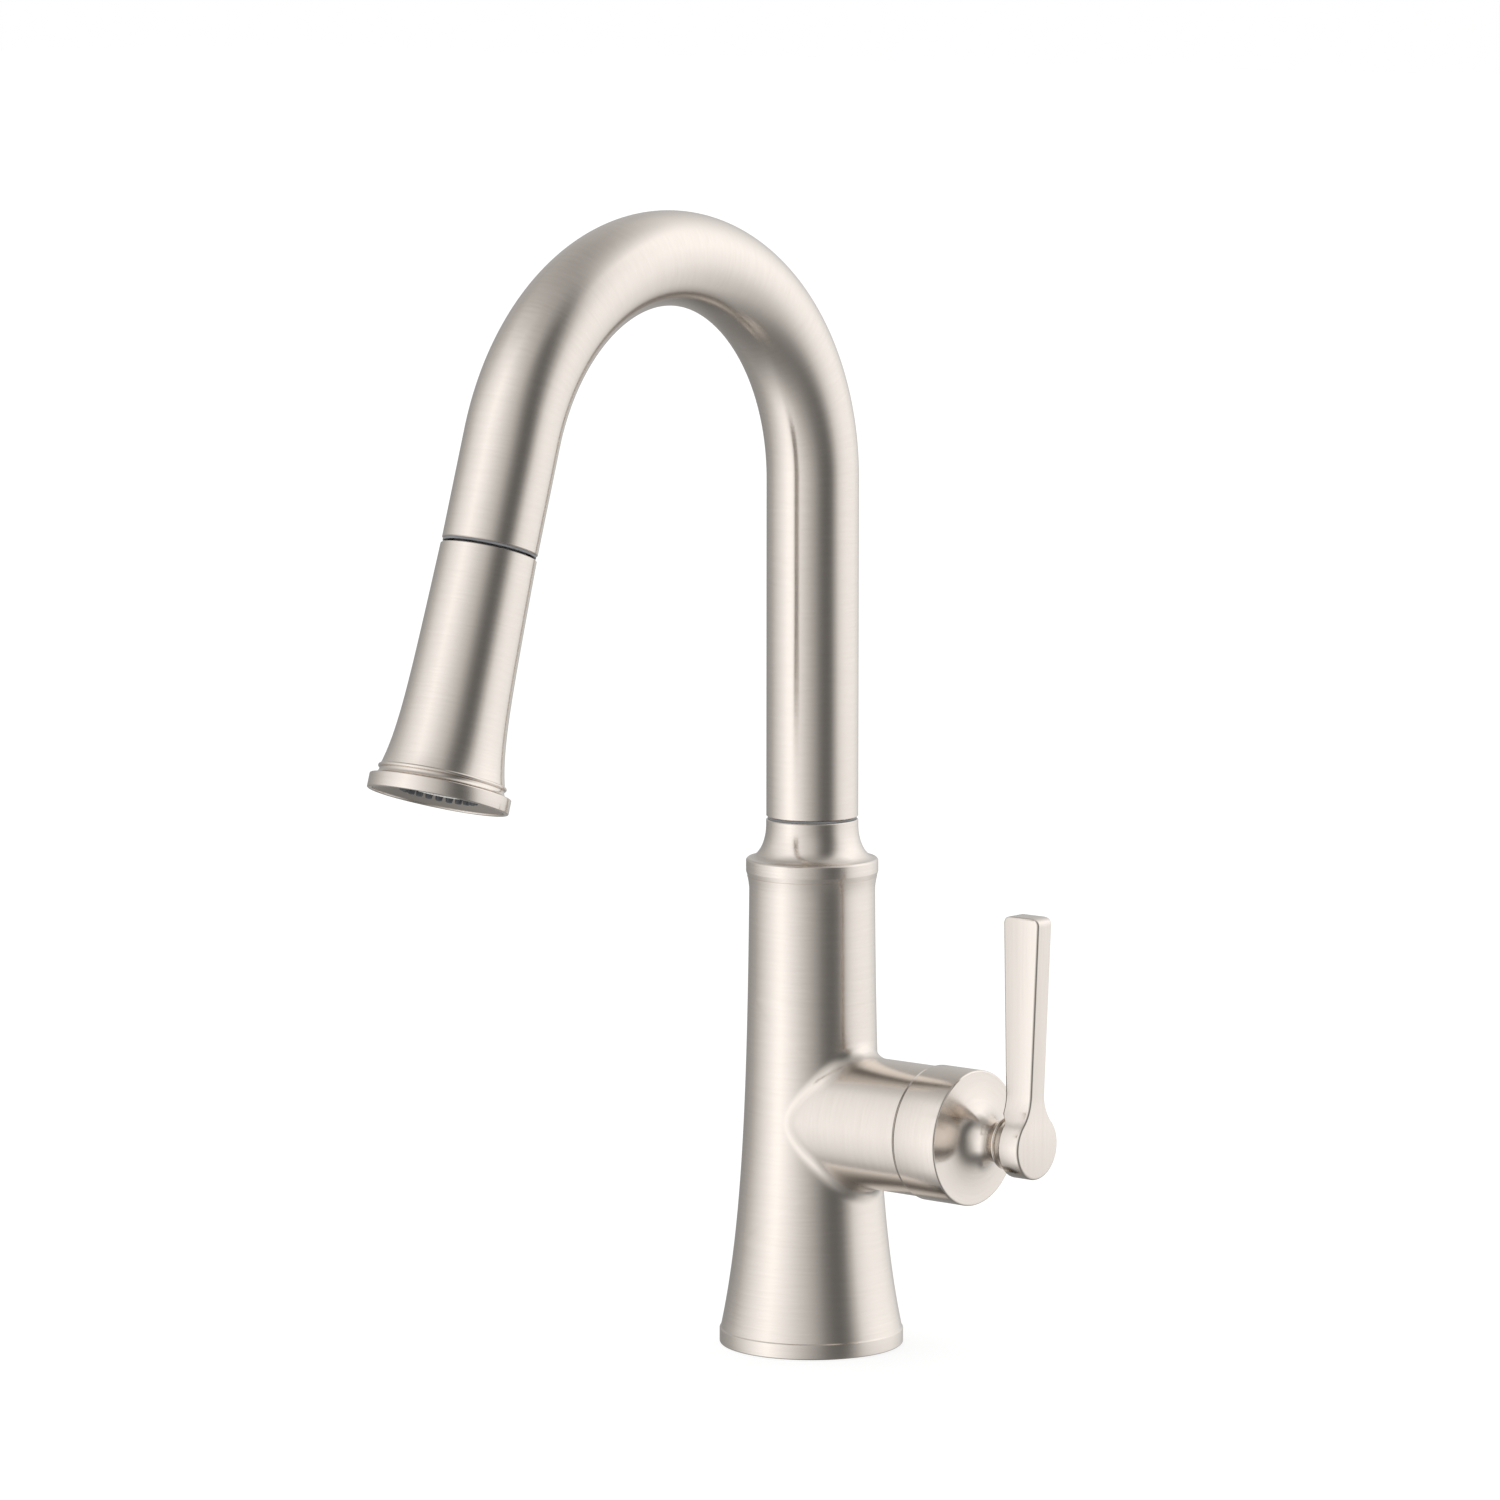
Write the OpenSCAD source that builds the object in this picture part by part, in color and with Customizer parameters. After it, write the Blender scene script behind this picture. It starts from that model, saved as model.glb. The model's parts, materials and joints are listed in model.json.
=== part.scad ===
// Pull down kitchen faucet with a gooseneck spout, a docked spray head and a side lever.
// Origin: centre of the base on the deck. +Z up, the spout reaches towards -Y, the handle sits on +X.

/* [Body] */
// Radius of the base ring
base_r = 30.2; // [29.5:0.1:32]
// Height of the base ring
base_h = 5.3; // [4.5:0.1:6.5]
// Radius that the flared body settles to at its top
body_top_r = 20.15; // [19.8:0.05:20.6]
// Extra radius of the body at its foot
body_flare = 9.65; // [9:0.05:10]
// Height over which the flare dies away
flare_reach = 46; // [40:1:52]
// Height of the body's top, under the swivel collar
body_top_z = 155; // [153:0.5:157]
// Wall of the hollow body
body_wall = 3.2; // [2.8:0.1:3.6]

/* [Handle barrel] */
// Height of the barrel's axis
barrel_z = 75.9; // [72:0.1:80]
// Outer radius of the barrel
barrel_r = 21.3; // [21:0.05:21.4]
// Distance from the body's axis to the barrel's open end
barrel_end = 50.9; // [50.5:0.1:51.1]
// Open seam between the barrel and the handle cap
seam = 0.85; // [0.8:0.05:1.2]

/* [Cartridge] */
// Radius of the cartridge bore
cart_bore_r = 17.55; // [17.5:0.05:17.8]
// Distance from the body's axis to the cartridge's seat
seat_x = 14.5; // [14.3:0.1:14.7]
// Distance from the body's axis to the lever's pivot pin
pivot_x = 36; // [35.8:0.1:36.2]
// Radius of the bonnet dome about the pivot
dome_r = 20.2; // [20:0.1:20.6]
// Radius of the lever's pivot pin
pin_r = 1.95; // [1.8:0.05:2]
// Travel of the moving ceramic disc, half of it each side of the middle
disc_travel = 3.2; // [3:0.1:3.4]

/* [Handle] */
// Outer radius of the handle cap
cap_r = 22; // [21.8:0.05:22.2]
// Distance from the body's axis to the rim of the cap's face
cap_face_x = 68; // [67:0.1:69]
// Distance from the body's axis to the end of the cap's trumpet neck
neck_end_x = 80.6; // [80:0.1:81]
// Radius at the end of the neck
neck_r = 7; // [6.6:0.1:7.4]
// Distance from the body's axis to the back of the lever's hub
hub_back_x = 83.4; // [83:0.1:83.8]
// Distance from the body's axis to the face of the lever's hub
hub_face_x = 93.2; // [92:0.1:94]
// Radius of the lever's hub
hub_r = 10.6; // [10.2:0.1:11]
// Half of the lever blade's width
blade_half = 3.7; // [3.4:0.1:4]
// Height of the lever's tip above the deck
lever_top_z = 150.1; // [140:0.5:155]
// How far the blade widens outwards towards its tip
blade_out = 2.6; // [2:0.1:3]
// How far the blade widens inwards towards its tip
blade_in = 1.8; // [1.2:0.1:2.2]

/* [Spout] */
// Outer radius of the spout tube
tube_r = 15; // [14.8:0.05:15.2]
// Wall of the spout tube
tube_wall = 1.8; // [1.6:0.1:1.9]
// Radius of the gooseneck's centre line
arc_r = 74.8; // [70:0.2:80]
// Height of the gooseneck's centre
arc_z = 284.6; // [260:0.5:310]
// Angle that the gooseneck sweeps
arc_sweep = 162.3; // [155:0.1:170]
// Straight length between the gooseneck and the docking seam
nose_len = 35.9; // [30:0.5:40]
// Height of the swivel joint, where the spout tube starts
swivel_z = 174.6; // [174.4:0.1:174.8]

/* [Spray head] */
// Length of the spray head below the docking seam
head_len = 78.8; // [78.4:0.1:79.2]
// Radius of the head's bottom rim
rim_r = 22.1; // [21.9:0.1:22.3]
// Height of the rim band
rim_h = 4.7; // [4.5:0.1:4.9]
// Number of rubber nozzles
nozzle_count = 22; // [18:1:24]
// Radius of the ring of nozzles
nozzle_ring_r = 11.3; // [11.2:0.1:11.5]
// Outer radius of the spray hose
hose_r = 4.75; // [4.4:0.05:4.8]

/* [Deck fixing] */
// Outer radius of the threaded shank
shank_r = 16.2; // [16:0.05:16.5]
// Inner radius of the shank
shank_bore_r = 14.5; // [14.4:0.05:14.6]
// Length of the shank below the deck face
shank_len = 62; // [58:1:75]
// Thickness of the deck that the faucet is drawn clamped on
deck_t = 30; // [20:1:36]

/* [Hidden] */
$fn = 96;

e = 0.01;
// hair's breadth by which the straight nose is thinner than the bend, so that the two weld cleanly
weld = 0.05;
big = 200;

// colours
nickel = "#c9c1b6";
brass = "#b59a5b";
copper = "#b8734a";
steel = "#a9acb0";
pom_white = "#e9e6df";
pom_grey = "#85878a";
rubber_black = "#2c2d2f";
rubber_grey = "#4a4d52";
ceramic_white = "#f3f0ea";
braid_grey = "#6f7276";

// body
seat_back_x = 5.2;
boss_z = 136;
bush_r = 15.2;
lower_bush_z = [139, 150];
upper_bush_z = [157, 165.2];
cavity_z = 20;
nut_seat_x = 42;
nut_bore_r = 18.6;
nut_h = 5;
collar_band_r = 21.6;
collar_bore_r = 13.3;
collar_gap = 0.9;
collar_top_z = swivel_z - collar_gap;
gasket_r = [28, 24];
gasket_h = 1.6;

// water ways: tubes rise through the shank into the seat block behind the cartridge
tube_wr = 3;
tube_bore = 2.1;
port_r = 2;
inlet_pos = [8.8, 7];
outlet_pos = [10.6, 0];
inlet_port_z = barrel_z - 4;
outlet_port_z = barrel_z + 9.6;
tube_top_z = 60;
tube_low_z = -74;
hose_low_z = -60;

// spout
tube_bore_r = tube_r - tube_wall;
sleeve_r = 12.9;
sleeve_bore_r = 8.5;
oring_z = 169.1;
oring_wire_r = 0.85;
oring_groove_r = 11.4;
tube_end_s = -1.2;
bush_end_s = -0.3;
bush_bore_r = 11.7;
hose_bore_r = 3;
ferrule_r = 6;
ferrule_bore_r = 2.6;

// spray head, measured along its axis downwards from the docking seam
head_top_s = 0.25;
bead_s = 70.7;
rim_top_s = head_len - rim_h;
head_bore_r = 13.4;
ball_s = 5;
ball_r = 6;
core_low_s = 72.4;
aerator_r = 8.35;
aerator_top_s = 68;
face_bore_r = 8.45;
mat_r = 13.8;
rocker_s = 41;
rocker_y = 10.4;
rocker_half_w = 4.8;
rocker_half_l = 11;
rocker_rest = 5;
rocker_pin_r = 1.1;
spool_y = 4.6;
spool_r = 2.6;
spool_groove_r = 1.9;
spool_ring_s = [34, 49];
face_s = 74.6;
nozzle_tip_s = 77.55;
ferrule_top_s = -24;

// handle
pivot_clear = 0.05;
stem_r = 4.2;
stem_end_x = 74;
ball_arm = 9.4;
driver_ball_r = 2.4;
spigot_r = 5;
screw_r = 2;
screw_x = hub_back_x + 4;
hub_fillet = 14;
tip_r = 2.5;

// deck fixing
washer_r = 27;
washer_gap = 0.4;
rubber_h = 2.5;
steel_h = 2;
nut_top_z = -deck_t - rubber_h - steel_h - 1;
nut_screw_y = 22.3;
nut_screw_r = 2.4;

// frames
module at_nose() {
    translate([0, -arc_r, arc_z]) rotate([arc_sweep, 0, 0])
        translate([0, arc_r, nose_len]) rotate([180, 0, 0]) children();
}
module at_s(s) { translate([0, 0, -s]) children(); }
module along_x(x) { translate([x, 0, barrel_z]) rotate([0, 90, 0]) children(); }

// a ring or tube between two stations along Z
module tube(r_out, r_in, z0, z1) {
    translate([0, 0, z0]) difference() {
        cylinder(r = r_out, h = z1 - z0);
        translate([0, 0, -1]) cylinder(r = r_in, h = z1 - z0 + 2);
    }
}
// a rod between two stations along Z
module rod(r, z0, z1) { translate([0, 0, z0]) cylinder(r = r, h = z1 - z0); }
// a tube on the spray head's axis, between two distances below the seam
module head_tube(r_out, r_in, s0, s1) { tube(r_out, r_in, -s1, -s0); }
module torus(ring_r, wire_r) { rotate_extrude() translate([ring_r, 0]) circle(r = wire_r, $fn = 24); }
// a slot outline with round ends, along Y
module stadium(half_w, half_l) {
    square([2 * half_w, 2 * (half_l - half_w)], center = true);
    for (s = [-1, 1]) translate([0, s * (half_l - half_w)]) circle(r = half_w, $fn = 48);
}

// ---------- body ----------
function body_r(z) = body_top_r + body_flare * exp(-(z - base_h) / flare_reach);
module flared(z0, z1, inset, steps) {
    rotate_extrude() polygon(concat(
        [[0, z0]],
        [for (i = [0:steps]) let (z = z0 + (z1 - z0) * i / steps) [body_r(z) - inset, z]],
        [[0, z1]]));
}
module base_ring() {
    edge = 0.8;
    color(nickel) difference() {
        rotate_extrude() difference() {
            union() {
                translate([0, edge]) square([base_r, base_h - edge]);
                square([base_r - edge, base_h]);
                translate([base_r - edge, edge]) circle(r = edge, $fn = 32);
            }
            translate([-1, -1]) square([shank_r + 1, base_h + 2]);
        }
        tube(gasket_r[0], gasket_r[1], -1, gasket_h);
    }
}
module base_gasket() { color(rubber_black) tube(gasket_r[0], gasket_r[1], 0, gasket_h); }
// one drilled way: a socket for the tube, a riser above it and a port out to the cartridge's seat
module water_way(x, y, port_z) {
    translate([x, y, 0]) {
        rod(tube_wr, 50, tube_top_z);
        rod(port_r, tube_top_z - 1, port_z + port_r);
    }
    translate([x, y, port_z]) rotate([0, 90, 0]) cylinder(r = port_r - 0.3, h = seat_x - x + 1);
}
module water_ways() {
    for (s = [-1, 1]) water_way(inlet_pos[0], s * inlet_pos[1], inlet_port_z);
    water_way(outlet_pos[0], outlet_pos[1], outlet_port_z);
}
module body_shell() {
    color(nickel) difference() {
        union() {
            difference() {
                flared(base_h, body_top_z, 0, 30);
                flared(cavity_z, boss_z, body_wall, 16);
            }
            along_x(seat_back_x) cylinder(r = barrel_r, h = barrel_end - seat_back_x);
        }
        rod(shank_r, base_h - 1, cavity_z + 1);
        rod(bush_r, boss_z - 1, body_top_z + 1);
        along_x(seat_x) cylinder(r = cart_bore_r, h = big);
        along_x(nut_seat_x) cylinder(r = nut_bore_r, h = big);
        water_ways();
    }
}
module swivel_collar() {
    foot_z = body_top_z;
    band_z = 156.8;
    lip_z = 160.4;
    flare_z = 171.4;
    foot_step = 0.5;
    lip_step = 0.6;
    throat_r = tube_r + 0.05;
    cove_r = 10.6;
    color(nickel) difference() {
        rotate_extrude() difference() {
            union() {
                translate([0, foot_z]) square([collar_band_r - foot_step, band_z - foot_z + e]);
                translate([0, band_z]) square([collar_band_r, lip_z - band_z]);
                translate([0, lip_z - e]) square([collar_band_r - lip_step, flare_z - lip_z + e]);
                translate([0, flare_z - e]) square([throat_r, collar_top_z - flare_z + e]);
            }
            translate([throat_r + cove_r, flare_z + 0.4]) circle(r = cove_r);
        }
        rod(bush_r, foot_z - 1, upper_bush_z[1]);
        rod(collar_bore_r, foot_z, collar_top_z + 1);
    }
}
module bush(z) { color(pom_white) tube(bush_r, sleeve_r + 0.05, z[0], z[1]); }
module spout_bush_lower() { bush(lower_bush_z); }
module spout_bush_upper() { bush(upper_bush_z); }

// ---------- spout ----------
module spout_sleeve() {
    foot_z = 133;
    shoulder_r = 14.4;
    clear = 0.1;
    spigot_h = 20;
    groove_half = 1.1;
    color(brass) difference() {
        union() {
            rod(sleeve_r, foot_z, swivel_z);
            rod(shoulder_r, lower_bush_z[1] + clear, upper_bush_z[0] - clear);
            rod(tube_bore_r, swivel_z, swivel_z + spigot_h);
        }
        rod(sleeve_bore_r, foot_z - 3, swivel_z + spigot_h + 10);
        tube(sleeve_r + 1, oring_groove_r, oring_z - groove_half, oring_z + groove_half);
    }
}
module swivel_oring() {
    color(rubber_black) translate([0, 0, oring_z]) torus(oring_groove_r + oring_wire_r + 0.1, oring_wire_r);
}
// the thin dark ring that shows between the collar and the spout
module glide_washer() {
    color(pom_grey) tube(tube_r - 0.5, sleeve_r + 0.1, collar_top_z + 0.1, swivel_z - 0.1);
}
// a round tube that climbs from z0, follows the gooseneck and ends at distance s1 on the head's axis
module gooseneck(r_out, r_in, z0, s1) {
    tube(r_out, r_in, z0, arc_z);
    translate([0, -arc_r, arc_z]) rotate([90, 0, 90])
        rotate_extrude(angle = arc_sweep) translate([arc_r, 0]) difference() {
            circle(r = r_out);
            circle(r = r_in);
        }
    at_nose() tube(r_out - weld, r_in + weld, -s1, nose_len + 0.5);
}
module spout_tube() { color(nickel) gooseneck(tube_r, tube_bore_r, swivel_z, tube_end_s); }
module dock_bush() {
    foot_s = -14;
    lead_r = 12.2;
    color(pom_grey) at_nose() difference() {
        union() {
            head_tube(tube_bore_r, bush_bore_r, foot_s, tube_end_s);
            head_tube(tube_r - 0.3, bush_bore_r, tube_end_s, bush_end_s);
        }
        translate([0, 0, -bush_end_s - 0.1]) cylinder(r1 = lead_r, r2 = bush_bore_r, h = 1);
    }
}
module spray_hose() {
    color(braid_grey) gooseneck(hose_r, hose_bore_r, hose_low_z, ferrule_top_s, $fn = 48);
}
module hose_coupling() {
    socket_r = 6.2;
    tail_r = 4.4;
    step_z = hose_low_z - 6;
    color(brass) difference() {
        union() {
            rod(socket_r, step_z, hose_low_z + 8);
            rod(tail_r, step_z - 10, step_z);
        }
        rod(hose_r, hose_low_z, hose_low_z + 10);
        rod(ferrule_bore_r, step_z - 14, hose_low_z + 5);
    }
}

// ---------- spray head ----------
module hose_ball_end() {
    ferrule_low_s = -7;
    stem_r = 4.2;
    flat = 5.4;
    color(brass) at_nose() difference() {
        union() {
            head_tube(ferrule_r, ferrule_bore_r, ferrule_top_s, ferrule_low_s);
            head_tube(stem_r, ferrule_bore_r, ferrule_low_s, ball_s);
            at_s(ball_s) sphere(r = ball_r);
        }
        at_s(20) cylinder(r = ferrule_bore_r, h = 60);
        at_s(20) cylinder(r = 20, h = 20 - ball_s - flat);
    }
}
module swivel_gland() {
    nose_r = [11.4, 11.1];
    nose_h = 11;
    flange_r = 12;
    mouth_r = 6.5;
    outlet_r = 4.5;
    color(pom_grey) at_nose() difference() {
        union() {
            at_s(0) cylinder(r1 = nose_r[0], r2 = nose_r[1], h = nose_h);
            at_s(2) cylinder(r = flange_r, h = 2 - head_top_s + e);
            at_s(ball_s) cylinder(r = head_bore_r - 0.1, h = ball_s - 2);
            at_s(1) cylinder(r = nose_r[0], h = 1 + e);
        }
        at_s(-1) cylinder(r = mouth_r, h = 20);
        at_s(ball_s + 1) cylinder(r = outlet_r, h = 20);
        at_s(ball_s) sphere(r = ball_r + pivot_clear);
    }
}
function head_r(s) = 15.05 + 0.0185 * s + 3.1 * exp((s - 71) / 11.5);
module head_outline(grow, s0, s1, steps) {
    polygon(concat(
        [[0, -s0]],
        [for (i = [0:steps]) let (s = s0 + (s1 - s0) * i / steps) [head_r(s) + grow, -s]],
        [[0, -s1]]));
}
module rocker_window(half_w, half_l, y0) {
    at_s(rocker_s) translate([0, y0, 0]) rotate([-90, 0, 0])
        linear_extrude(height = 14) stadium(half_w, half_l);
}
// the flared foot of the head: a bead, a cove under it and the rim band
module foot_outline() {
    bead_r = 0.6;
    cove_r = 2.1;
    edge = 0.35;
    waist_r = head_r(bead_s) + 0.1;
    translate([0, -bead_s - 1]) square([waist_r - 1.5, 3]);
    translate([waist_r - 0.2, -bead_s - bead_r]) circle(r = bead_r, $fn = 32);
    translate([0, -rim_top_s - 1]) square([waist_r, rim_top_s + 1 - bead_s]);
    difference() {
        translate([waist_r - 0.1, -rim_top_s - e]) square([cove_r + 0.1, cove_r]);
        translate([waist_r + cove_r, -rim_top_s + cove_r]) circle(r = cove_r, $fn = 48);
    }
    translate([0, -head_len]) square([rim_r - edge, rim_h]);
    translate([0, -head_len + edge]) square([rim_r, rim_h - 2 * edge]);
    for (s = [rim_top_s + edge, head_len - edge])
        translate([rim_r - edge, -s]) circle(r = edge, $fn = 32);
}
module head_shell() {
    neck_bore_r = 12.2;
    flare_s = 58;
    color(nickel) at_nose() difference() {
        union() {
            rotate_extrude() head_outline(0, head_top_s, bead_s, 22);
            rotate_extrude() foot_outline();
        }
        at_s(2 + e) cylinder(r = neck_bore_r, h = 3);
        at_s(flare_s) cylinder(r = head_bore_r, h = flare_s - 2);
        rotate_extrude() polygon([[0, e - flare_s], [head_bore_r, e - flare_s], [15.4, -63], [17.3, -69],
            [17.8, -73.4], [20.6, -75.2], [20.6, -head_len - 1], [0, -head_len - 1]]);
        rocker_window(rocker_half_w + 0.5, rocker_half_l + 0.7, 6);
    }
}
module head_core() {
    channel_count = 8;
    channel_r = 1;
    channel_ring_r = 10.1;
    waist_r = 11.8;
    waist_s = 57.8;
    flange_r = 14.8;
    flange_s = [62.6, 66];
    rod_r = 0.5;
    seal_r = 5.1;
    valve_r = 4;
    valve_low_s = 22.5;
    feed_r = 1.5;
    feed_low_s = 30;
    color(pom_white) at_nose() difference() {
        union() {
            head_tube(head_bore_r - 0.1, rod_r, ball_s + 0.05, waist_s);
            head_tube(flange_r, rod_r, flange_s[0], flange_s[1]);
            head_tube(waist_r, rod_r, waist_s, core_low_s);
        }
        at_s(ball_s) sphere(r = ball_r + pivot_clear);
        at_s(14) cylinder(r = seal_r, h = 14 - ball_s - 2);
        at_s(valve_low_s) cylinder(r = valve_r, h = 9);
        at_s(feed_low_s) cylinder(r = feed_r, h = 20);
        translate([0, spool_y, 0]) at_s(57) cylinder(r = spool_r + pivot_clear, h = 29);
        at_s(feed_low_s) translate([0, spool_y / 2, 0]) cube([3, spool_y, 3], center = true);
        translate([-5.4, 7.4, -rocker_s - 12.2]) cube([10.8, 10, 24.4]);
        translate([-1.6, spool_y, -rocker_s - 3]) cube([3.2, 4, 6]);
        at_s(rocker_s) translate([0, rocker_y, 0]) rotate([0, 90, 0])
            cylinder(r = rocker_pin_r, h = 15.2, center = true);
        at_s(core_low_s + 1) cylinder(r = aerator_r + 0.15, h = core_low_s + 2 - aerator_top_s);
        at_s(aerator_top_s) translate([0, 0.5, 0]) cylinder(r = 2.5, h = 14);
        for (i = [0:channel_count - 1]) rotate([0, 0, 22.5 + i * 360 / channel_count])
            translate([channel_ring_r, 0, 0]) at_s(core_low_s + 1) cylinder(r = channel_r, h = 12, $fn = 24);
    }
}
module swivel_seal() { color(rubber_black) at_nose() head_tube(5, 2.9, 11.6, 13.4); }
module check_valve() {
    cage_r = 3.9;
    bore_r = 2.6;
    color(pom_grey) at_nose() difference() {
        head_tube(cage_r, bore_r, 14.2, 22.3);
        at_s(12) rotate_extrude() translate([bore_r, -8]) circle(r = 0.3, $fn = 16);
    }
    color(pom_grey) at_nose() at_s(18) sphere(r = bore_r - 0.02, $fn = 32);
}
module diverter_spool() {
    bore_r = 0.8;
    slot_r = 1.6;
    slot_half = 1.35;
    color(brass) at_nose() translate([0, spool_y, 0]) difference() {
        head_tube(spool_r, bore_r, 31.6, 54);
        head_tube(spool_r + 1, slot_r, rocker_s - slot_half, rocker_s + slot_half);
        for (s = spool_ring_s) head_tube(spool_r + 1, spool_groove_r, s - 0.7, s + 0.7);
    }
}
module spool_orings() {
    color(rubber_black) at_nose() translate([0, spool_y, 0])
        for (s = spool_ring_s) head_tube(spool_r, spool_groove_r, s - 0.6, s + 0.6);
}
module mode_rocker() {
    inside_r = 13.3;
    lift = 0.9;
    hub_r = 2.4;
    hub_w = 7.2;
    color(pom_grey) at_nose()
    at_s(rocker_s) translate([0, rocker_y, 0]) rotate([-rocker_rest, 0, 0])
    translate([0, -rocker_y, rocker_s]) difference() {
        union() {
            intersection() {
                rotate_extrude() difference() {
                    head_outline(lift, rocker_s - 13, rocker_s + 13, 10);
                    translate([-e, -rocker_s - 14]) square([inside_r, 28]);
                }
                rocker_window(rocker_half_w, rocker_half_l, 6);
            }
            at_s(rocker_s) translate([-hub_w / 2, rocker_y - 0.6, -3.4]) cube([hub_w, 3.9, 6.8]);
            at_s(rocker_s) translate([0, rocker_y, 0]) rotate([0, 90, 0])
                cylinder(r = hub_r, h = hub_w, center = true);
            at_s(rocker_s) translate([-1.1, spool_y + 1.8, -0.9]) cube([2.2, 4.6, 1.8]);
        }
        at_s(rocker_s) translate([0, rocker_y, 0]) rotate([0, 90, 0])
            cylinder(r = rocker_pin_r + pivot_clear, h = 12, center = true);
    }
}
module rocker_pin() {
    color(steel) at_nose() at_s(rocker_s) translate([0, rocker_y, 0]) rotate([0, 90, 0])
        cylinder(r = rocker_pin_r, h = 14, center = true);
}
module around_nozzles() {
    for (i = [0:nozzle_count - 1]) rotate([0, 0, i * 360 / nozzle_count])
        translate([nozzle_ring_r, 0, 0]) children();
}
module spray_face() {
    plate_h = 0.9;
    skirt_r = 13.9;
    edge_r = 20.55;
    color(nickel) at_nose() difference() {
        rotate_extrude() polygon([
            [face_bore_r, -face_s - plate_h], [skirt_r, -face_s - plate_h], [19.9, -head_len + 0.5],
            [edge_r, -head_len + 0.5], [edge_r, -head_len + 2.2], [skirt_r + 1, -face_s + 0.4],
            [skirt_r + 1, -68], [skirt_r, -68], [skirt_r, -face_s], [face_bore_r, -face_s]]);
        around_nozzles() at_s(80) cylinder(r = 1.25, h = 10, $fn = 24);
    }
}
module nozzle_mat() {
    color(rubber_grey) at_nose() {
        head_tube(mat_r, face_bore_r + 0.45, core_low_s, face_s);
        around_nozzles() at_s(nozzle_tip_s) difference() {
            cylinder(r1 = 0.95, r2 = 1.2, h = nozzle_tip_s - face_s + e, $fn = 24);
            translate([0, 0, -1]) cylinder(r = 0.4, h = 2.2, $fn = 16);
        }
    }
}
module aerator_body() { color(pom_white) at_nose() head_tube(aerator_r, 6.9, aerator_top_s, 76.4); }
module aerator_mesh() {
    bars = 6;
    pitch = 1.9;
    wire = 0.6;
    mesh_s = 75.8;
    mesh_h = 0.8;
    color(steel) at_nose() intersection() {
        at_s(mesh_s) cylinder(r = 6.88, h = mesh_h);
        for (i = [-bars / 2:bars / 2]) {
            translate([i * pitch - wire / 2, -8, -mesh_s]) cube([wire, 16, mesh_h]);
            translate([-8, i * pitch - wire / 2, -mesh_s]) cube([16, wire, mesh_h]);
        }
    }
}

// ---------- cartridge ----------
module ports(x0, x1) {
    for (s = [-1, 1]) translate([0, s * inlet_pos[1], inlet_port_z - barrel_z])
        along_x(x0) cylinder(r = port_r, h = x1 - x0);
    translate([0, 0, outlet_port_z - barrel_z]) along_x(x0) cylinder(r = port_r, h = x1 - x0);
}
module ported(r, x0, x1) {
    difference() {
        along_x(x0) cylinder(r = r, h = x1 - x0);
        ports(x0 - 1, x1 + 1);
    }
}
rotor_bore_r = 14.6;
seal_x = 15.7;
plate_x = 18.2;
disc_x = 21;
moving_x = 24;
module cartridge_seal() { color(rubber_black) ported(16, seat_x, seal_x); }
module cartridge_housing() {
    color(pom_white) difference() {
        ported(cart_bore_r - 0.1, seal_x, nut_seat_x);
        along_x(plate_x) cylinder(r = rotor_bore_r, h = big);
    }
}
module fixed_disc() { color(ceramic_white) ported(rotor_bore_r - 0.1, plate_x, disc_x); }
module moving_disc() {
    run = 0.02;
    recess_r = 5.5;
    color(ceramic_white) translate([0, 0, -disc_travel / 2]) difference() {
        along_x(disc_x + run) cylinder(r = 12.2, h = moving_x - disc_x - run);
        translate([0, 0, 3]) along_x(disc_x - 1) cylinder(r = recess_r, h = 2.4);
    }
}
module disc_driver() {
    slot = driver_ball_r + 0.1;
    color(pom_grey) difference() {
        translate([0, 0, -disc_travel / 2]) along_x(moving_x) cylinder(r = 11.6, h = 3.2);
        translate([moving_x - 1, -5, barrel_z - slot]) cube([6, 10, 2 * slot]);
    }
}
module cartridge_rotor() {
    rotor_x = 28;
    slot_half = stem_r + 0.3;
    color(pom_grey) difference() {
        along_x(rotor_x) cylinder(r = rotor_bore_r - 0.07, h = nut_seat_x - 0.5 - rotor_x);
        translate([rotor_x - 1, -slot_half, barrel_z - 8.5]) cube([20, 2 * slot_half, 17]);
        translate([pivot_x, 0, barrel_z]) rotate([90, 0, 0]) cylinder(r = pin_r, h = 24, center = true);
    }
}
module lever_pin() {
    color(steel) translate([pivot_x, 0, barrel_z]) rotate([90, 0, 0])
        cylinder(r = pin_r, h = 23.6, center = true);
}
module cartridge_stem() {
    stem_x = 31.6;
    neck = 1.8;
    color(brass) difference() {
        union() {
            along_x(stem_x) cylinder(r = stem_r, h = stem_end_x - stem_x);
            along_x(pivot_x - ball_arm) cylinder(r = neck, h = 6);
            along_x(pivot_x - ball_arm) sphere(r = driver_ball_r, $fn = 48);
        }
        translate([pivot_x, 0, barrel_z]) rotate([90, 0, 0])
            cylinder(r = pin_r + pivot_clear, h = 24, center = true);
    }
}
module retaining_nut() {
    key_count = 4;
    mouth_r = 13.2;
    color(brass) difference() {
        along_x(nut_seat_x) cylinder(r = nut_bore_r - 0.05, h = nut_h);
        along_x(nut_seat_x - 1) cylinder(r = mouth_r, h = nut_h + 3);
        for (i = [0:key_count - 1]) along_x(nut_seat_x + nut_h / 2) rotate([0, 0, i * 90])
            translate([12, -1.5, 0]) cube([3.5, 3, 4]);
    }
}
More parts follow.
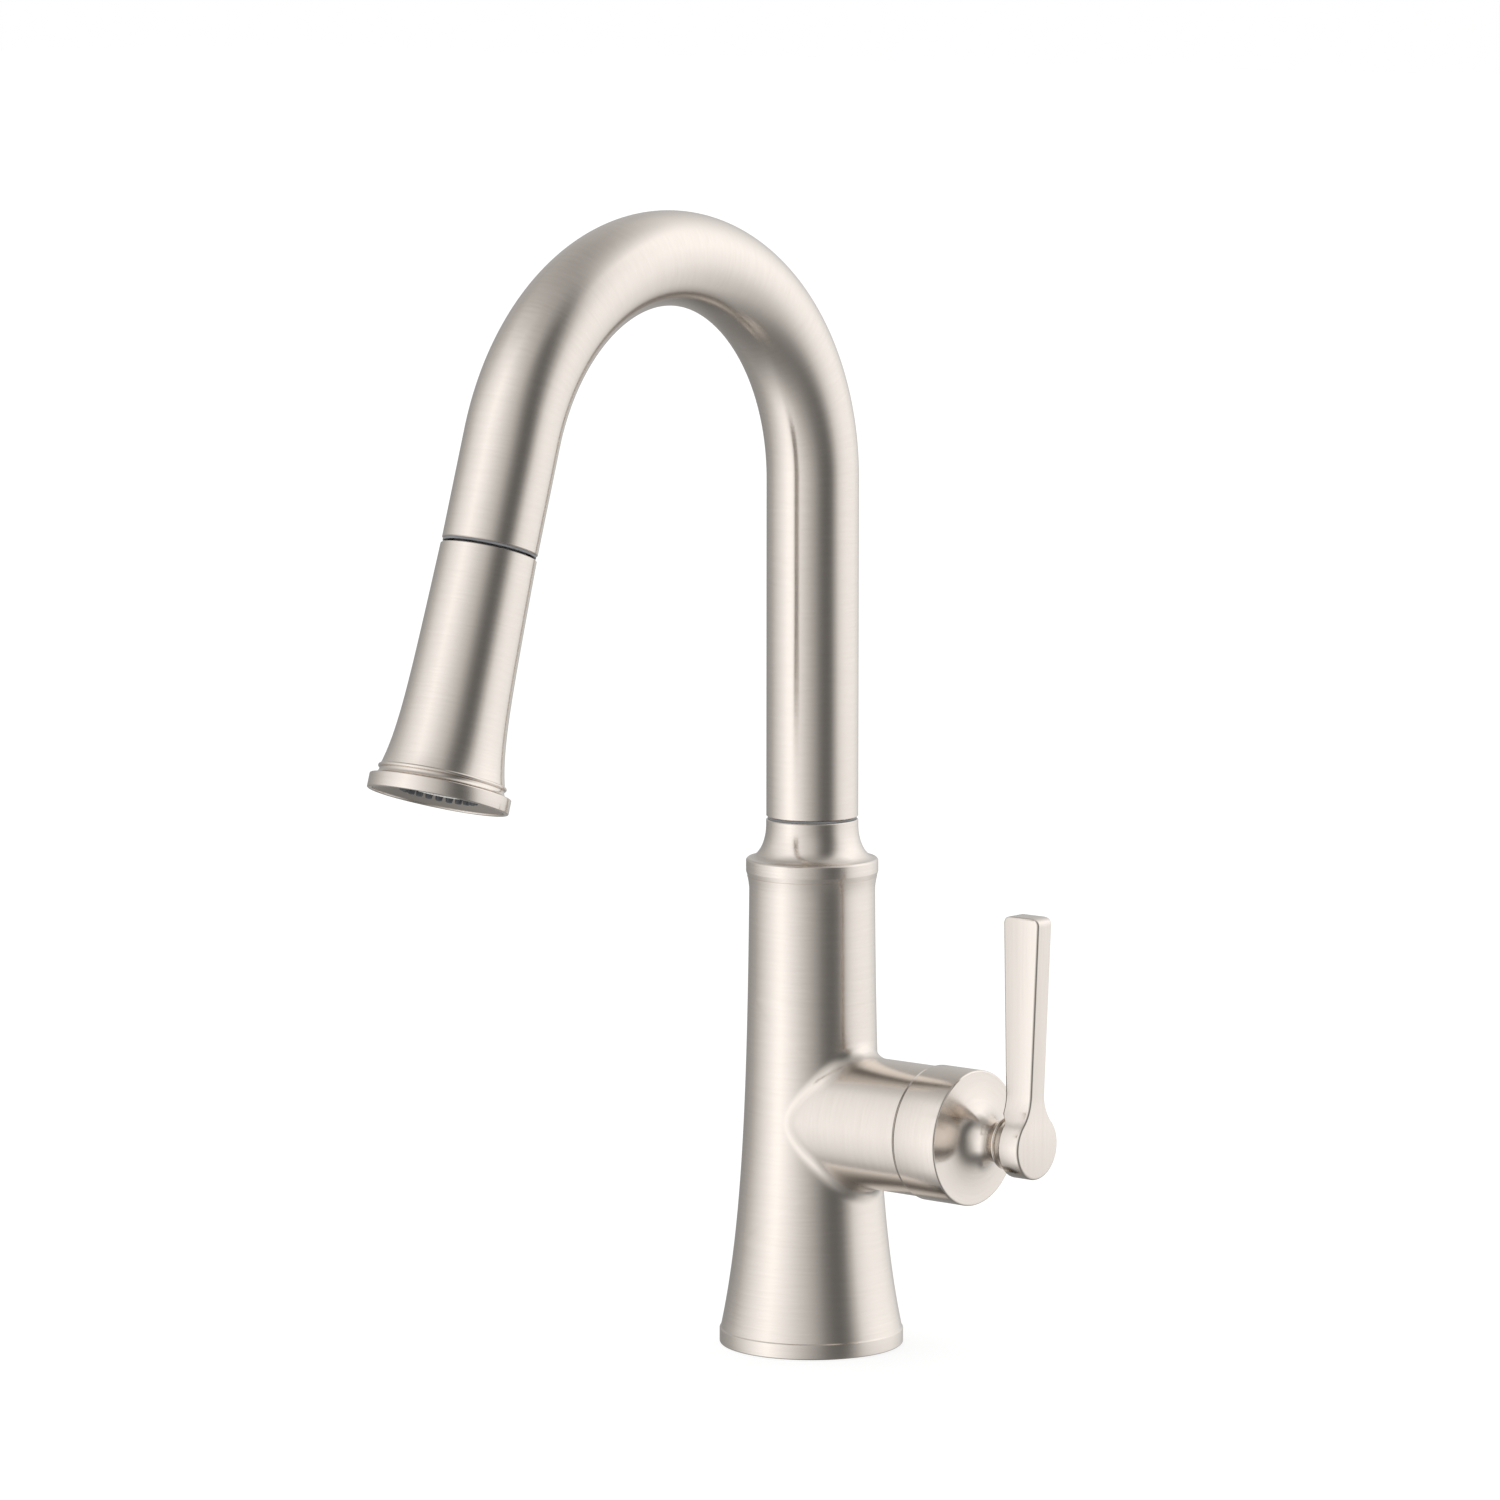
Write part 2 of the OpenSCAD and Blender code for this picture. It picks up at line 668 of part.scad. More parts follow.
module bonnet_dome() {
    dome_wall = 1.2;
    flange = nut_seat_x + nut_h - pivot_x;
    flange_r = 15.4;
    flange_h = 1.4;
    mouth_r = 11.7;
    color(pom_grey) along_x(pivot_x) rotate_extrude() difference() {
        union() {
            intersection() {
                difference() {
                    circle(r = dome_r, $fn = 180);
                    circle(r = dome_r - dome_wall, $fn = 180);
                }
                translate([mouth_r, flange]) square([20, 20]);
            }
            translate([flange_r, flange]) square([nut_bore_r - 0.05 - flange_r, flange_h]);
        }
        translate([-40, -40]) square([40, 80]);
    }
}

// ---------- handle ----------
cap_back_x = barrel_end + seam;
// the trumpet's outline: a flat-lying bell that closes on the neck
function bell_x(t) = cap_face_x + (neck_end_x - cap_face_x) * pow(t, 2.6);
function bell_r(t) = neck_r + (cap_r - 0.6 - neck_r) * pow(1 - t, 2.2);
module handle_cap() {
    steps = 22;
    edge = 0.55;
    back_edge = 0.3;
    lip_r = barrel_r + 0.2;
    mouth_r = lip_r - 1.6;
    web_x = 60;
    color(nickel) difference() {
        translate([0, 0, barrel_z]) rotate([0, 90, 0]) rotate_extrude() polygon(concat(
            [[0, cap_back_x], [cap_r - back_edge, cap_back_x], [cap_r, cap_back_x + back_edge],
             [cap_r, cap_face_x - edge]],
            [for (i = [0:steps]) [bell_r(i / steps), bell_x(i / steps)]],
            [[0, neck_end_x]]));
        along_x(cap_back_x - e) cylinder(r1 = lip_r, r2 = mouth_r, h = 2.5);
        along_x(cap_back_x) cylinder(r = mouth_r, h = web_x - cap_back_x);
        along_x(web_x - 5) cylinder(r = stem_r, h = stem_end_x - web_x + 5);
        along_x(stem_end_x + 1) cylinder(r = spigot_r - 1, h = big);
    }
}
module lever_collar() {
    ring_h = 1.3;
    groove_h = 0.5;
    hub_x = neck_end_x + ring_h + groove_h;
    color(nickel) difference() {
        union() {
            along_x(neck_end_x) cylinder(r = 8, h = ring_h);
            along_x(neck_end_x + ring_h) cylinder(r = 7.4, h = groove_h);
            along_x(hub_x) cylinder(r = 8.3, h = hub_back_x - hub_x);
            along_x(stem_end_x + 1.2) cylinder(r = spigot_r - 1, h = 10);
            along_x(hub_back_x - e) cylinder(r = spigot_r, h = 6);
        }
        along_x(stem_end_x) cylinder(r = 1.6, h = big);
    }
}
module lever_front(depth) {
    gap = hub_r + hub_fillet;
    side = blade_half + hub_fillet;
    rise = sqrt(gap * gap - side * side);
    root = hub_r / gap * 0.99;
    cylinder(r = hub_r, h = depth);
    translate([-blade_half, 0, 0]) cube([2 * blade_half, lever_top_z - barrel_z + 1, depth]);
    difference() {
        linear_extrude(height = depth)
            polygon([[-side * root, rise * root], [-blade_half + 0.5, rise], [blade_half - 0.5, rise],
                [side * root, rise * root]]);
        for (s = [-1, 1]) translate([s * side, rise, -1]) cylinder(r = hub_fillet, h = depth + 2);
    }
}
module lever_side(width) {
    knee_z = barrel_z + 15;
    top = lever_top_z;
    in_x = hub_back_x - blade_in;
    out_x = hub_face_x + blade_out;
    difference() {
        linear_extrude(height = width)
            polygon([[hub_back_x, barrel_z - 20], [hub_face_x, barrel_z - 20], [hub_face_x, knee_z],
                [out_x, top], [in_x, top], [hub_back_x, knee_z]]);
        translate([out_x - tip_r, top - tip_r, -1]) cube([9, 9, width + 2]);
        translate([in_x + tip_r - 9, top - tip_r, -1]) cube([9, 9, width + 2]);
    }
    for (x = [out_x - tip_r - 0.1, in_x + tip_r + 0.1])
        translate([x, top - tip_r, 0]) cylinder(r = tip_r, h = width);
}
module handle_lever() {
    color(nickel) difference() {
        intersection() {
            translate([70, 0, barrel_z]) rotate([90, 0, 90]) lever_front(40);
            translate([0, 20, 0]) rotate([90, 0, 0]) lever_side(40);
        }
        along_x(hub_back_x - 1) cylinder(r = spigot_r, h = 7);
        translate([screw_x, 0, barrel_z]) rotate([-90, 0, 0]) cylinder(r = screw_r, h = 20);
    }
}
module handle_set_screw() {
    screw_end = 9.6;
    key_r = 1.15;
    color(steel) translate([screw_x, 0, barrel_z]) rotate([-90, 0, 0]) difference() {
        rod(screw_r, spigot_r + 0.05, screw_end);
        translate([0, 0, screw_end - 2]) cylinder(r = key_r, h = 3, $fn = 6);
    }
}

// ---------- deck fixing and supply ends ----------
module mounting_shank() { color(brass) tube(shank_r, shank_bore_r, -shank_len, 18); }
module washer(z0, h) { tube(washer_r, shank_r + washer_gap, z0 - h, z0); }
module rubber_washer() { color(rubber_black) washer(-deck_t, rubber_h); }
module steel_washer() { color(steel) washer(-deck_t - rubber_h, steel_h); }
module mounting_nut() {
    flange_r = 26;
    flange_h = 5;
    hex_r = 22.5;
    hex_h = 9;
    color(brass) difference() {
        union() {
            rod(flange_r, nut_top_z - flange_h, nut_top_z);
            translate([0, 0, nut_top_z - flange_h - hex_h]) cylinder(r = hex_r, h = hex_h + e, $fn = 6);
        }
        rod(shank_r, nut_top_z - 20, nut_top_z + 1);
        for (s = [-1, 1]) translate([0, s * nut_screw_y, 0]) rod(nut_screw_r, nut_top_z - 20, nut_top_z + 1);
    }
}
module nut_screws() {
    length = 19;
    screw_head = [4.2, 3.5];
    slot = [1.2, 10, 2.7];
    color(steel) for (s = [-1, 1]) translate([0, s * nut_screw_y, nut_top_z - length]) difference() {
        union() {
            rod(nut_screw_r, 0, length + 1);
            rod(screw_head[0], -screw_head[1], 0);
        }
        translate([-slot[0] / 2, -slot[1] / 2, -5]) cube(slot);
    }
}
module water_tube(x, y) {
    color(copper) translate([x, y, 0]) tube(tube_wr, tube_bore, tube_low_z, tube_top_z);
}
module hot_inlet_tube() { water_tube(inlet_pos[0], -inlet_pos[1]); }
module cold_inlet_tube() { water_tube(inlet_pos[0], inlet_pos[1]); }
module outlet_tube() { water_tube(outlet_pos[0], outlet_pos[1]); }
module inlet_couplings() {
    coupling_r = 4.1;
    coupling_h = 9;
    color(brass) for (s = [-1, 1]) translate([inlet_pos[0], s * inlet_pos[1], 0])
        tube(coupling_r, tube_wr, tube_low_z, tube_low_z + coupling_h);
}

base_ring();
base_gasket();
body_shell();
swivel_collar();
spout_bush_lower();
spout_bush_upper();
spout_sleeve();
swivel_oring();
glide_washer();
spout_tube();
dock_bush();
spray_hose();
hose_coupling();
hose_ball_end();
swivel_gland();
head_shell();
head_core();
swivel_seal();
check_valve();
diverter_spool();
spool_orings();
mode_rocker();
rocker_pin();
spray_face();
nozzle_mat();
aerator_body();
aerator_mesh();
cartridge_seal();
cartridge_housing();
fixed_disc();
moving_disc();
disc_driver();
cartridge_rotor();
lever_pin();
cartridge_stem();
retaining_nut();
bonnet_dome();
handle_cap();
lever_collar();
handle_lever();
handle_set_screw();
mounting_shank();
rubber_washer();
steel_washer();
mounting_nut();
nut_screws();
hot_inlet_tube();
cold_inlet_tube();
outlet_tube();
inlet_couplings();
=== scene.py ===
"""Pull down kitchen faucet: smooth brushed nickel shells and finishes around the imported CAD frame.

Outlines are in millimetres and become metres when a mesh is made. Places come from the frame:
the barrel's axis and the docking seam from the joints, the tube's size from its node's box.
"""
import json
import math

import bmesh
import bpy
import numpy as np
from mathutils import Matrix, Vector


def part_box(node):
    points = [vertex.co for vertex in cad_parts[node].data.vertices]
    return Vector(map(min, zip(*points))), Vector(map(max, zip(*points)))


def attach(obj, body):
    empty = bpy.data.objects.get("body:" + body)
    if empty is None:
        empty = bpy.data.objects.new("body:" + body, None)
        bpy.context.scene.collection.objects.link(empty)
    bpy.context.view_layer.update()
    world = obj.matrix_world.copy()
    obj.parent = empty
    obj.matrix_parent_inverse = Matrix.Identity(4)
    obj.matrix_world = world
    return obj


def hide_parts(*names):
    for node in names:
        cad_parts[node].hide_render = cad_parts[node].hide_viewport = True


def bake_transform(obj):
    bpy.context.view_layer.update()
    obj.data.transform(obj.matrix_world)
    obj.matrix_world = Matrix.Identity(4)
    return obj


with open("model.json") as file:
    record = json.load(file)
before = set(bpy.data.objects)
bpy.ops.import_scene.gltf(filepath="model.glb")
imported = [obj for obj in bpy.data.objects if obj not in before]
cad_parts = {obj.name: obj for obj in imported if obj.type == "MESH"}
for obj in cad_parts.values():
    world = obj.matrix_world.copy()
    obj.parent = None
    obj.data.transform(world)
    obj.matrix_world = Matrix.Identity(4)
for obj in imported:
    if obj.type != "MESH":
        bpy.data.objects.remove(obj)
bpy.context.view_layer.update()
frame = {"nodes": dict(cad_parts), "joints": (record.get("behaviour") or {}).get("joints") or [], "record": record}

MM = 0.001
ROUND = 192

JOINTS = {j["name"]: j for j in frame["joints"]}
SEAM = np.array(JOINTS["head_swivel"]["pos_m"]) / MM
DOWN = np.array(JOINTS["head_swivel"]["axis"])
PULL = JOINTS["spray_pull"]["range_m"][1] / MM
BARREL_Z = JOINTS["temperature_turn"]["pos_m"][2] / MM


def size_of(node):
    """Lowest and highest corner of a CAD node, in millimetres."""
    low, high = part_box(node)
    return np.array(low) / MM, np.array(high) / MM


# ---------- outlines ----------
def rounded(corners, steps=6):
    """An outline through (x, y) or (x, y, radius) corners, with an arc at each corner that has a radius."""
    points = []
    count = len(corners)
    for i, corner in enumerate(corners):
        here = np.array(corner[:2], float)
        radius = corner[2] if len(corner) > 2 else 0
        if radius == 0:
            points.append(here)
            continue
        before = np.array(corners[i - 1][:2], float) - here
        after = np.array(corners[(i + 1) % count][:2], float) - here
        before /= np.linalg.norm(before)
        after /= np.linalg.norm(after)
        half = math.acos(np.clip(before @ after, -1, 1)) / 2
        middle = before + after
        centre = here + middle / np.linalg.norm(middle) * radius / math.sin(half)
        start = here + before * radius / math.tan(half) - centre
        end = here + after * radius / math.tan(half) - centre
        turn = math.pi - 2 * half
        for k in range(steps + 1):
            share = k / steps
            weight = (math.sin((1 - share) * turn), math.sin(share * turn))
            points.append(centre + (start * weight[0] + end * weight[1]) / math.sin(turn))
    return np.array(points)


def curve(function, start, end, steps):
    """Points (function(t), t) for t from start to end."""
    return [(function(t), t) for t in np.linspace(start, end, steps + 1)]


# ---------- meshes ----------
def finish_mesh(name, bm, body, nodes, material, sharp=28):
    """Makes an object from a bmesh in millimetres, smooth apart from its real edges, riding on a body."""
    bmesh.ops.remove_doubles(bm, verts=bm.verts, dist=0.0005)
    bmesh.ops.dissolve_degenerate(bm, edges=bm.edges, dist=0.0005)
    bmesh.ops.recalc_face_normals(bm, faces=bm.faces)
    bmesh.ops.scale(bm, vec=(MM, MM, MM), verts=bm.verts)
    mesh = bpy.data.meshes.new(name)
    bm.to_mesh(mesh)
    bm.free()
    return finish_object(name, mesh, body, nodes, material, sharp)


def finish_object(name, mesh, body, nodes, material, sharp=28):
    piece = bpy.data.objects.new(name, mesh)
    bpy.context.scene.collection.objects.link(piece)
    mesh.shade_smooth()
    mesh.set_sharp_from_angle(angle=math.radians(sharp))
    mesh.materials.append(material)
    if body:
        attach(piece, body)
    if nodes:
        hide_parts(*nodes)
    return piece


def new_bmesh():
    """An empty bmesh with the brush map: along the axis, round it, and a grain place that has no seam."""
    bm = bmesh.new()
    bm.loops.layers.uv.new("brush")
    bm.verts.layers.float_vector.new("grain")
    return bm


def add_grid(bm, points, grain, brush, wrap_rows=False, wrap_columns=False, lap=0.0):
    """Adds a grid of quads. points and grain are rows x columns x 3, brush is rows x columns x 2.

    lap is how much the brush map's second number gains over one full turn of a wrapped grid.
    """
    uv_layer = bm.loops.layers.uv["brush"]
    grain_layer = bm.verts.layers.float_vector["grain"]
    rows, columns = points.shape[:2]
    verts = []
    for i in range(rows):
        row = [bm.verts.new(points[i, j]) for j in range(columns)]
        for j, vert in enumerate(row):
            vert[grain_layer] = grain[i, j]
        verts.append(row)
    for i in range(rows if wrap_rows else rows - 1):
        below = (i + 1) % rows
        for j in range(columns if wrap_columns else columns - 1):
            beside = (j + 1) % columns
            face = bm.faces.new((verts[i][j], verts[i][beside], verts[below][beside], verts[below][j]))
            gain = (0, lap if beside == 0 else 0)
            places = (brush[i, j], brush[i, beside] + gain, brush[below, beside] + gain, brush[below, j])
            for loop, place in zip(face.loops, places):
                loop[uv_layer].uv = place
    return verts


def straight(origin, direction, across):
    """An axis for lathe(): distance s along it gives a centre and two directions across it."""
    direction = np.array(direction, float)
    first = np.array(across, float)
    second = np.cross(direction, first)

    def at(s):
        s = np.asarray(s, float)
        flat = np.ones_like(s)
        return origin + np.outer(s, direction), np.outer(flat, first), np.outer(flat, second)
    return at


UPRIGHT = straight(np.zeros(3), (0, 0, 1), (1, 0, 0))
ON_BARREL = straight(np.array((0, 0, BARREL_Z)), (1, 0, 0), (0, 1, 0))
ON_HEAD = straight(SEAM, DOWN, (1, 0, 0))


def add_lathe(bm, outline, axis=UPRIGHT, closed=True, around=ROUND):
    """Turns an outline of (radius, distance along the axis) round the axis."""
    outline = np.array(outline, float)
    radius, s = outline[:, 0], outline[:, 1]
    angles = np.linspace(0, 2 * math.pi, around, endpoint=False)
    centre, first, second = axis(s)
    reach = np.repeat(radius[:, None], around, 1)
    cosine, sine = np.cos(angles), np.sin(angles)
    points = (centre[:, None] + reach[..., None]
              * (first[:, None] * cosine[None, :, None] + second[:, None] * sine[None, :, None]))
    length = np.concatenate([[0], np.cumsum(np.linalg.norm(np.diff(outline, axis=0), axis=1))])
    shape = (len(outline), around)
    grain = np.stack([np.broadcast_to(cosine, shape), np.broadcast_to(sine, shape),
                      np.broadcast_to(length[:, None] * MM, shape)], -1)
    brush = np.stack([np.broadcast_to(length[:, None] * MM, shape),
                      np.broadcast_to(angles * radius.max() * MM, shape)], -1)
    lap = 2 * math.pi * radius.max() * MM
    add_grid(bm, points, grain, brush, wrap_rows=closed, wrap_columns=True, lap=lap)


def lathe(name, outline, body, nodes, material, axis=UPRIGHT, closed=True):
    bm = new_bmesh()
    add_lathe(bm, outline, axis, closed)
    return finish_mesh(name, bm, body, nodes, material)


def cut(piece, tool):
    """Cuts a tool object out of a piece, then removes the tool."""
    modifier = piece.modifiers.new("cut", "BOOLEAN")
    modifier.operation = "DIFFERENCE"
    modifier.object = tool
    modifier.solver = "EXACT"
    depsgraph = bpy.context.evaluated_depsgraph_get()
    mesh = bpy.data.meshes.new_from_object(piece.evaluated_get(depsgraph))
    piece.modifiers.clear()
    piece.data = mesh
    bpy.data.objects.remove(tool)


def tool_lathe(outline, axis=UPRIGHT):
    """A turned tool for cut()."""
    bm = new_bmesh()
    add_lathe(bm, outline, axis, closed=False, around=96)
    return finish_mesh("tool", bm, None, None, PLAIN)


def rod(radius, start, end):
    """The outline of a plain solid rod, from axis to axis."""
    return [(0, start), (radius, start), (radius, end), (0, end)]


# ---------- materials ----------
# places of a mix node's two colours and of its mixed colour among its sockets
MIX_A, MIX_B, MIX_RESULT = 6, 7, 2


def new_material(name):
    material = bpy.data.materials.new(name)
    material.use_nodes = True
    nodes = material.node_tree.nodes
    return material, nodes, material.node_tree.links, nodes["Principled BSDF"]


def mapped(nodes, links, source, scale):
    """The grain attribute, or the object's own coordinates, stretched by scale."""
    if source == "grain":
        place = nodes.new("ShaderNodeAttribute")
        place.attribute_name = "grain"
        socket = place.outputs["Vector"]
    else:
        place = nodes.new("ShaderNodeTexCoord")
        socket = place.outputs["Object"]
    mapping = nodes.new("ShaderNodeMapping")
    mapping.inputs["Scale"].default_value = scale
    links.new(socket, mapping.inputs["Vector"])
    return mapping.outputs["Vector"]


def noise(nodes, links, vector, detail=3.0, roughness=0.6):
    texture = nodes.new("ShaderNodeTexNoise")
    texture.inputs["Scale"].default_value = 1.0
    texture.inputs["Detail"].default_value = detail
    texture.inputs["Roughness"].default_value = roughness
    links.new(vector, texture.inputs["Vector"])
    return texture.outputs["Fac"]


def ranged(nodes, links, value, low, high):
    """Maps 0.3..0.7, where a noise mostly lies, onto low..high."""
    node = nodes.new("ShaderNodeMapRange")
    node.inputs["From Min"].default_value = 0.3
    node.inputs["From Max"].default_value = 0.7
    node.inputs["To Min"].default_value = low
    node.inputs["To Max"].default_value = high
    links.new(value, node.inputs["Value"])
    return node.outputs["Result"]


def tinted(nodes, links, value, low, high):
    """Colours from low to high by value."""
    node = nodes.new("ShaderNodeMix")
    node.data_type = "RGBA"
    node.inputs[MIX_A].default_value = (*low, 1)
    node.inputs[MIX_B].default_value = (*high, 1)
    links.new(value, node.inputs["Factor"])
    return node.outputs[MIX_RESULT]


def bumped(nodes, links, bsdf, value, distance):
    bump = nodes.new("ShaderNodeBump")
    bump.inputs["Strength"].default_value = 1.0
    bump.inputs["Distance"].default_value = distance
    links.new(value, bump.inputs["Height"])
    links.new(bump.outputs["Normal"], bsdf.inputs["Normal"])


def brushed_nickel(name, grain_scale=(1.5, 1.5, 1400.0), anisotropy=0.65, roughness=0.19, depth=0.000006):
    """Satin nickel with fine brush lines round each piece, as a belt leaves them."""
    material, nodes, links, bsdf = new_material(name)
    lines = noise(nodes, links, mapped(nodes, links, "grain", grain_scale), 4.0, 0.7)
    haze = noise(nodes, links, mapped(nodes, links, "object", (18.0, 18.0, 18.0)), 2.0)
    links.new(tinted(nodes, links, ranged(nodes, links, lines, 0, 1), NICKEL_LOW, NICKEL_HIGH),
              bsdf.inputs["Base Color"])
    rough = nodes.new("ShaderNodeMath")
    rough.operation = "ADD"
    links.new(ranged(nodes, links, lines, roughness - 0.02, roughness + 0.02), rough.inputs[0])
    links.new(ranged(nodes, links, haze, -0.01, 0.015), rough.inputs[1])
    links.new(rough.outputs[0], bsdf.inputs["Roughness"])
    bumped(nodes, links, bsdf, lines, depth)
    bsdf.inputs["Metallic"].default_value = 1.0
    bsdf.inputs["Anisotropic"].default_value = anisotropy
    if anisotropy:
        tangent = nodes.new("ShaderNodeTangent")
        tangent.direction_type = "UV_MAP"
        tangent.uv_map = "brush"
        links.new(tangent.outputs["Tangent"], bsdf.inputs["Tangent"])
    return material


def metal(name, low, high, roughness):
    """A plain machined or drawn metal on a CAD node, with turning marks across Z."""
    material, nodes, links, bsdf = new_material(name)
    lines = noise(nodes, links, mapped(nodes, links, "object", (60.0, 60.0, 700.0)), 3.0)
    links.new(tinted(nodes, links, ranged(nodes, links, lines, 0, 1), low, high), bsdf.inputs["Base Color"])
    links.new(ranged(nodes, links, lines, roughness - 0.06, roughness + 0.06), bsdf.inputs["Roughness"])
    bumped(nodes, links, bsdf, lines, 0.00002)
    bsdf.inputs["Metallic"].default_value = 1.0
    return material


def moulded(name, low, high, roughness):
    """Moulded plastic, rubber or ceramic: a fine even skin with slight cloudiness."""
    material, nodes, links, bsdf = new_material(name)
    skin = noise(nodes, links, mapped(nodes, links, "object", (2500.0, 2500.0, 2500.0)), 2.0)
    cloud = noise(nodes, links, mapped(nodes, links, "object", (120.0, 120.0, 120.0)), 3.0)
    links.new(tinted(nodes, links, ranged(nodes, links, cloud, 0, 1), low, high), bsdf.inputs["Base Color"])
    links.new(ranged(nodes, links, cloud, roughness - 0.04, roughness + 0.05), bsdf.inputs["Roughness"])
    bumped(nodes, links, bsdf, skin, 0.00001)
    bsdf.inputs["Specular IOR Level"].default_value = 0.5
    return material


def braided(name):
    """Woven sleeve of a spray hose: two families of crossing strands."""
    material, nodes, links, bsdf = new_material(name)
    place = nodes.new("ShaderNodeAttribute")
    place.attribute_name = "grain"
    split = nodes.new("ShaderNodeSeparateXYZ")
    links.new(place.outputs["Vector"], split.inputs[0])
    angle = nodes.new("ShaderNodeMath")
    angle.operation = "ARCTAN2"
    links.new(split.outputs["Y"], angle.inputs[0])
    links.new(split.outputs["X"], angle.inputs[1])
    strands = [strand(nodes, links, angle.outputs[0], split.outputs["Z"], lean) for lean in (-1, 1)]
    weave = nodes.new("ShaderNodeMath")
    weave.operation = "MULTIPLY"
    links.new(strands[0], weave.inputs[0])
    links.new(strands[1], weave.inputs[1])
    height = nodes.new("ShaderNodeMapRange")
    height.inputs["From Min"].default_value = -1
    links.new(weave.outputs[0], height.inputs["Value"])
    links.new(tinted(nodes, links, height.outputs[0], (0.09, 0.095, 0.1), (0.42, 0.43, 0.45)),
              bsdf.inputs["Base Color"])
    bumped(nodes, links, bsdf, height.outputs[0], 0.0003)
    bsdf.inputs["Roughness"].default_value = 0.45
    return material


def strand(nodes, links, angle, length, lean):
    """One family of strands: a sine across a helix of 12 starts, leaning one way."""
    starts, pitch = 12, 0.0035
    per_metre = 2 * math.pi / pitch
    turned = nodes.new("ShaderNodeMath")
    turned.operation = "MULTIPLY"
    turned.inputs[1].default_value = starts * lean
    links.new(angle, turned.inputs[0])
    along = nodes.new("ShaderNodeMath")
    along.operation = "MULTIPLY_ADD"
    along.inputs[1].default_value = per_metre
    links.new(length, along.inputs[0])
    links.new(turned.outputs[0], along.inputs[2])
    wave = nodes.new("ShaderNodeMath")
    wave.operation = "SINE"
    links.new(along.outputs[0], wave.inputs[0])
    return wave.outputs[0]


NICKEL_LOW = (0.730, 0.674, 0.620)
NICKEL_HIGH = (0.772, 0.716, 0.662)
PLAIN = bpy.data.materials.new("plain")
NICKEL = brushed_nickel("nickel_brushed")
NICKEL_SATIN = brushed_nickel("nickel_satin", (900.0, 900.0, 20.0), 0.0, 0.19, 0.0000015)
NICKEL_INSIDE = brushed_nickel("nickel_inside", (2.0, 2.0, 900.0), 0.0, 0.36, 0.00001)
BRASS = metal("brass", (0.62, 0.47, 0.22), (0.76, 0.60, 0.32), 0.32)
COPPER = metal("copper", (0.70, 0.34, 0.20), (0.86, 0.47, 0.30), 0.30)
STEEL = metal("steel", (0.52, 0.53, 0.55), (0.66, 0.67, 0.69), 0.30)
WHITE_PLASTIC = moulded("plastic_white", (0.74, 0.73, 0.69), (0.83, 0.82, 0.79), 0.42)
GREY_PLASTIC = moulded("plastic_grey", (0.19, 0.195, 0.205), (0.25, 0.255, 0.265), 0.40)
BLACK_RUBBER = moulded("rubber_black", (0.018, 0.018, 0.02), (0.035, 0.035, 0.037), 0.62)
GREY_RUBBER = moulded("rubber_grey", (0.045, 0.05, 0.056), (0.075, 0.08, 0.088), 0.55)
CERAMIC = moulded("ceramic", (0.80, 0.79, 0.75), (0.88, 0.87, 0.84), 0.12)
BRAID = braided("braid")
SLOT_MATERIALS = {
    "nickel": NICKEL_INSIDE, "brass": BRASS, "copper": COPPER, "steel": STEEL, "pom_white": WHITE_PLASTIC,
    "pom_grey": GREY_PLASTIC, "rubber_black": BLACK_RUBBER, "rubber_grey": GREY_RUBBER,
    "ceramic": CERAMIC, "braid": GREY_RUBBER,
}


def finish_cad_nodes():
    """Gives every CAD node the finish of its own material slot."""
    for part in frame["record"]["subparts"]:
        mesh = frame["nodes"][part["node"]].data
        mesh.materials.clear()
        mesh.materials.append(SLOT_MATERIALS[part["material_slot"]])


# ---------- body ----------
BASE_R, BASE_H = size_of("base_ring")[1][[0, 2]]
BODY_TOP = size_of("swivel_collar")[0][2]
BARREL_R = 21.3
BARREL_END = size_of("body_shell")[1][0]
FILLET = 5.5
FILLET_SPREAD = 3.8
# radius at which the body's brush map is laid out
BRUSH_R = 22
SHANK_R = size_of("mounting_shank")[1][0]
SHANK_TOP = size_of("mounting_shank")[1][2]
BUSH_R = size_of("spout_bush_upper")[1][0]
CARTRIDGE_R = size_of("cartridge_housing")[1][1] + 0.1
SEAT_X = size_of("cartridge_seal")[0][0]
NUT_R = size_of("retaining_nut")[1][1] + 0.05
NUT_X = size_of("retaining_nut")[0][0]


def body_r(z):
    """Radius of the flared body, with the small cove that meets the collar."""
    slim, spread, fade_height = 20.15, 9.65, 46
    cove_out, cove_height = 0.7, 5
    flare = slim + spread * math.exp(-(z - BASE_H) / fade_height)
    cove = cove_out * max(0.0, (z - (BODY_TOP - cove_height)) / cove_height) ** 2
    return flare + cove


def body_slope(z):
    return (body_r(z + 0.05) - body_r(z - 0.05)) / 0.1


def foot_ring():
    foot = 0.05
    step = BASE_R - body_r(BASE_H)
    outline = rounded([(SHANK_R, foot), (BASE_R, foot, 0.55), (BASE_R, BASE_H - step, 0.12),
                       (BASE_R - step, BASE_H), (SHANK_R, BASE_H)])
    lathe("foot_ring", outline, "body", ["base_ring"], NICKEL)


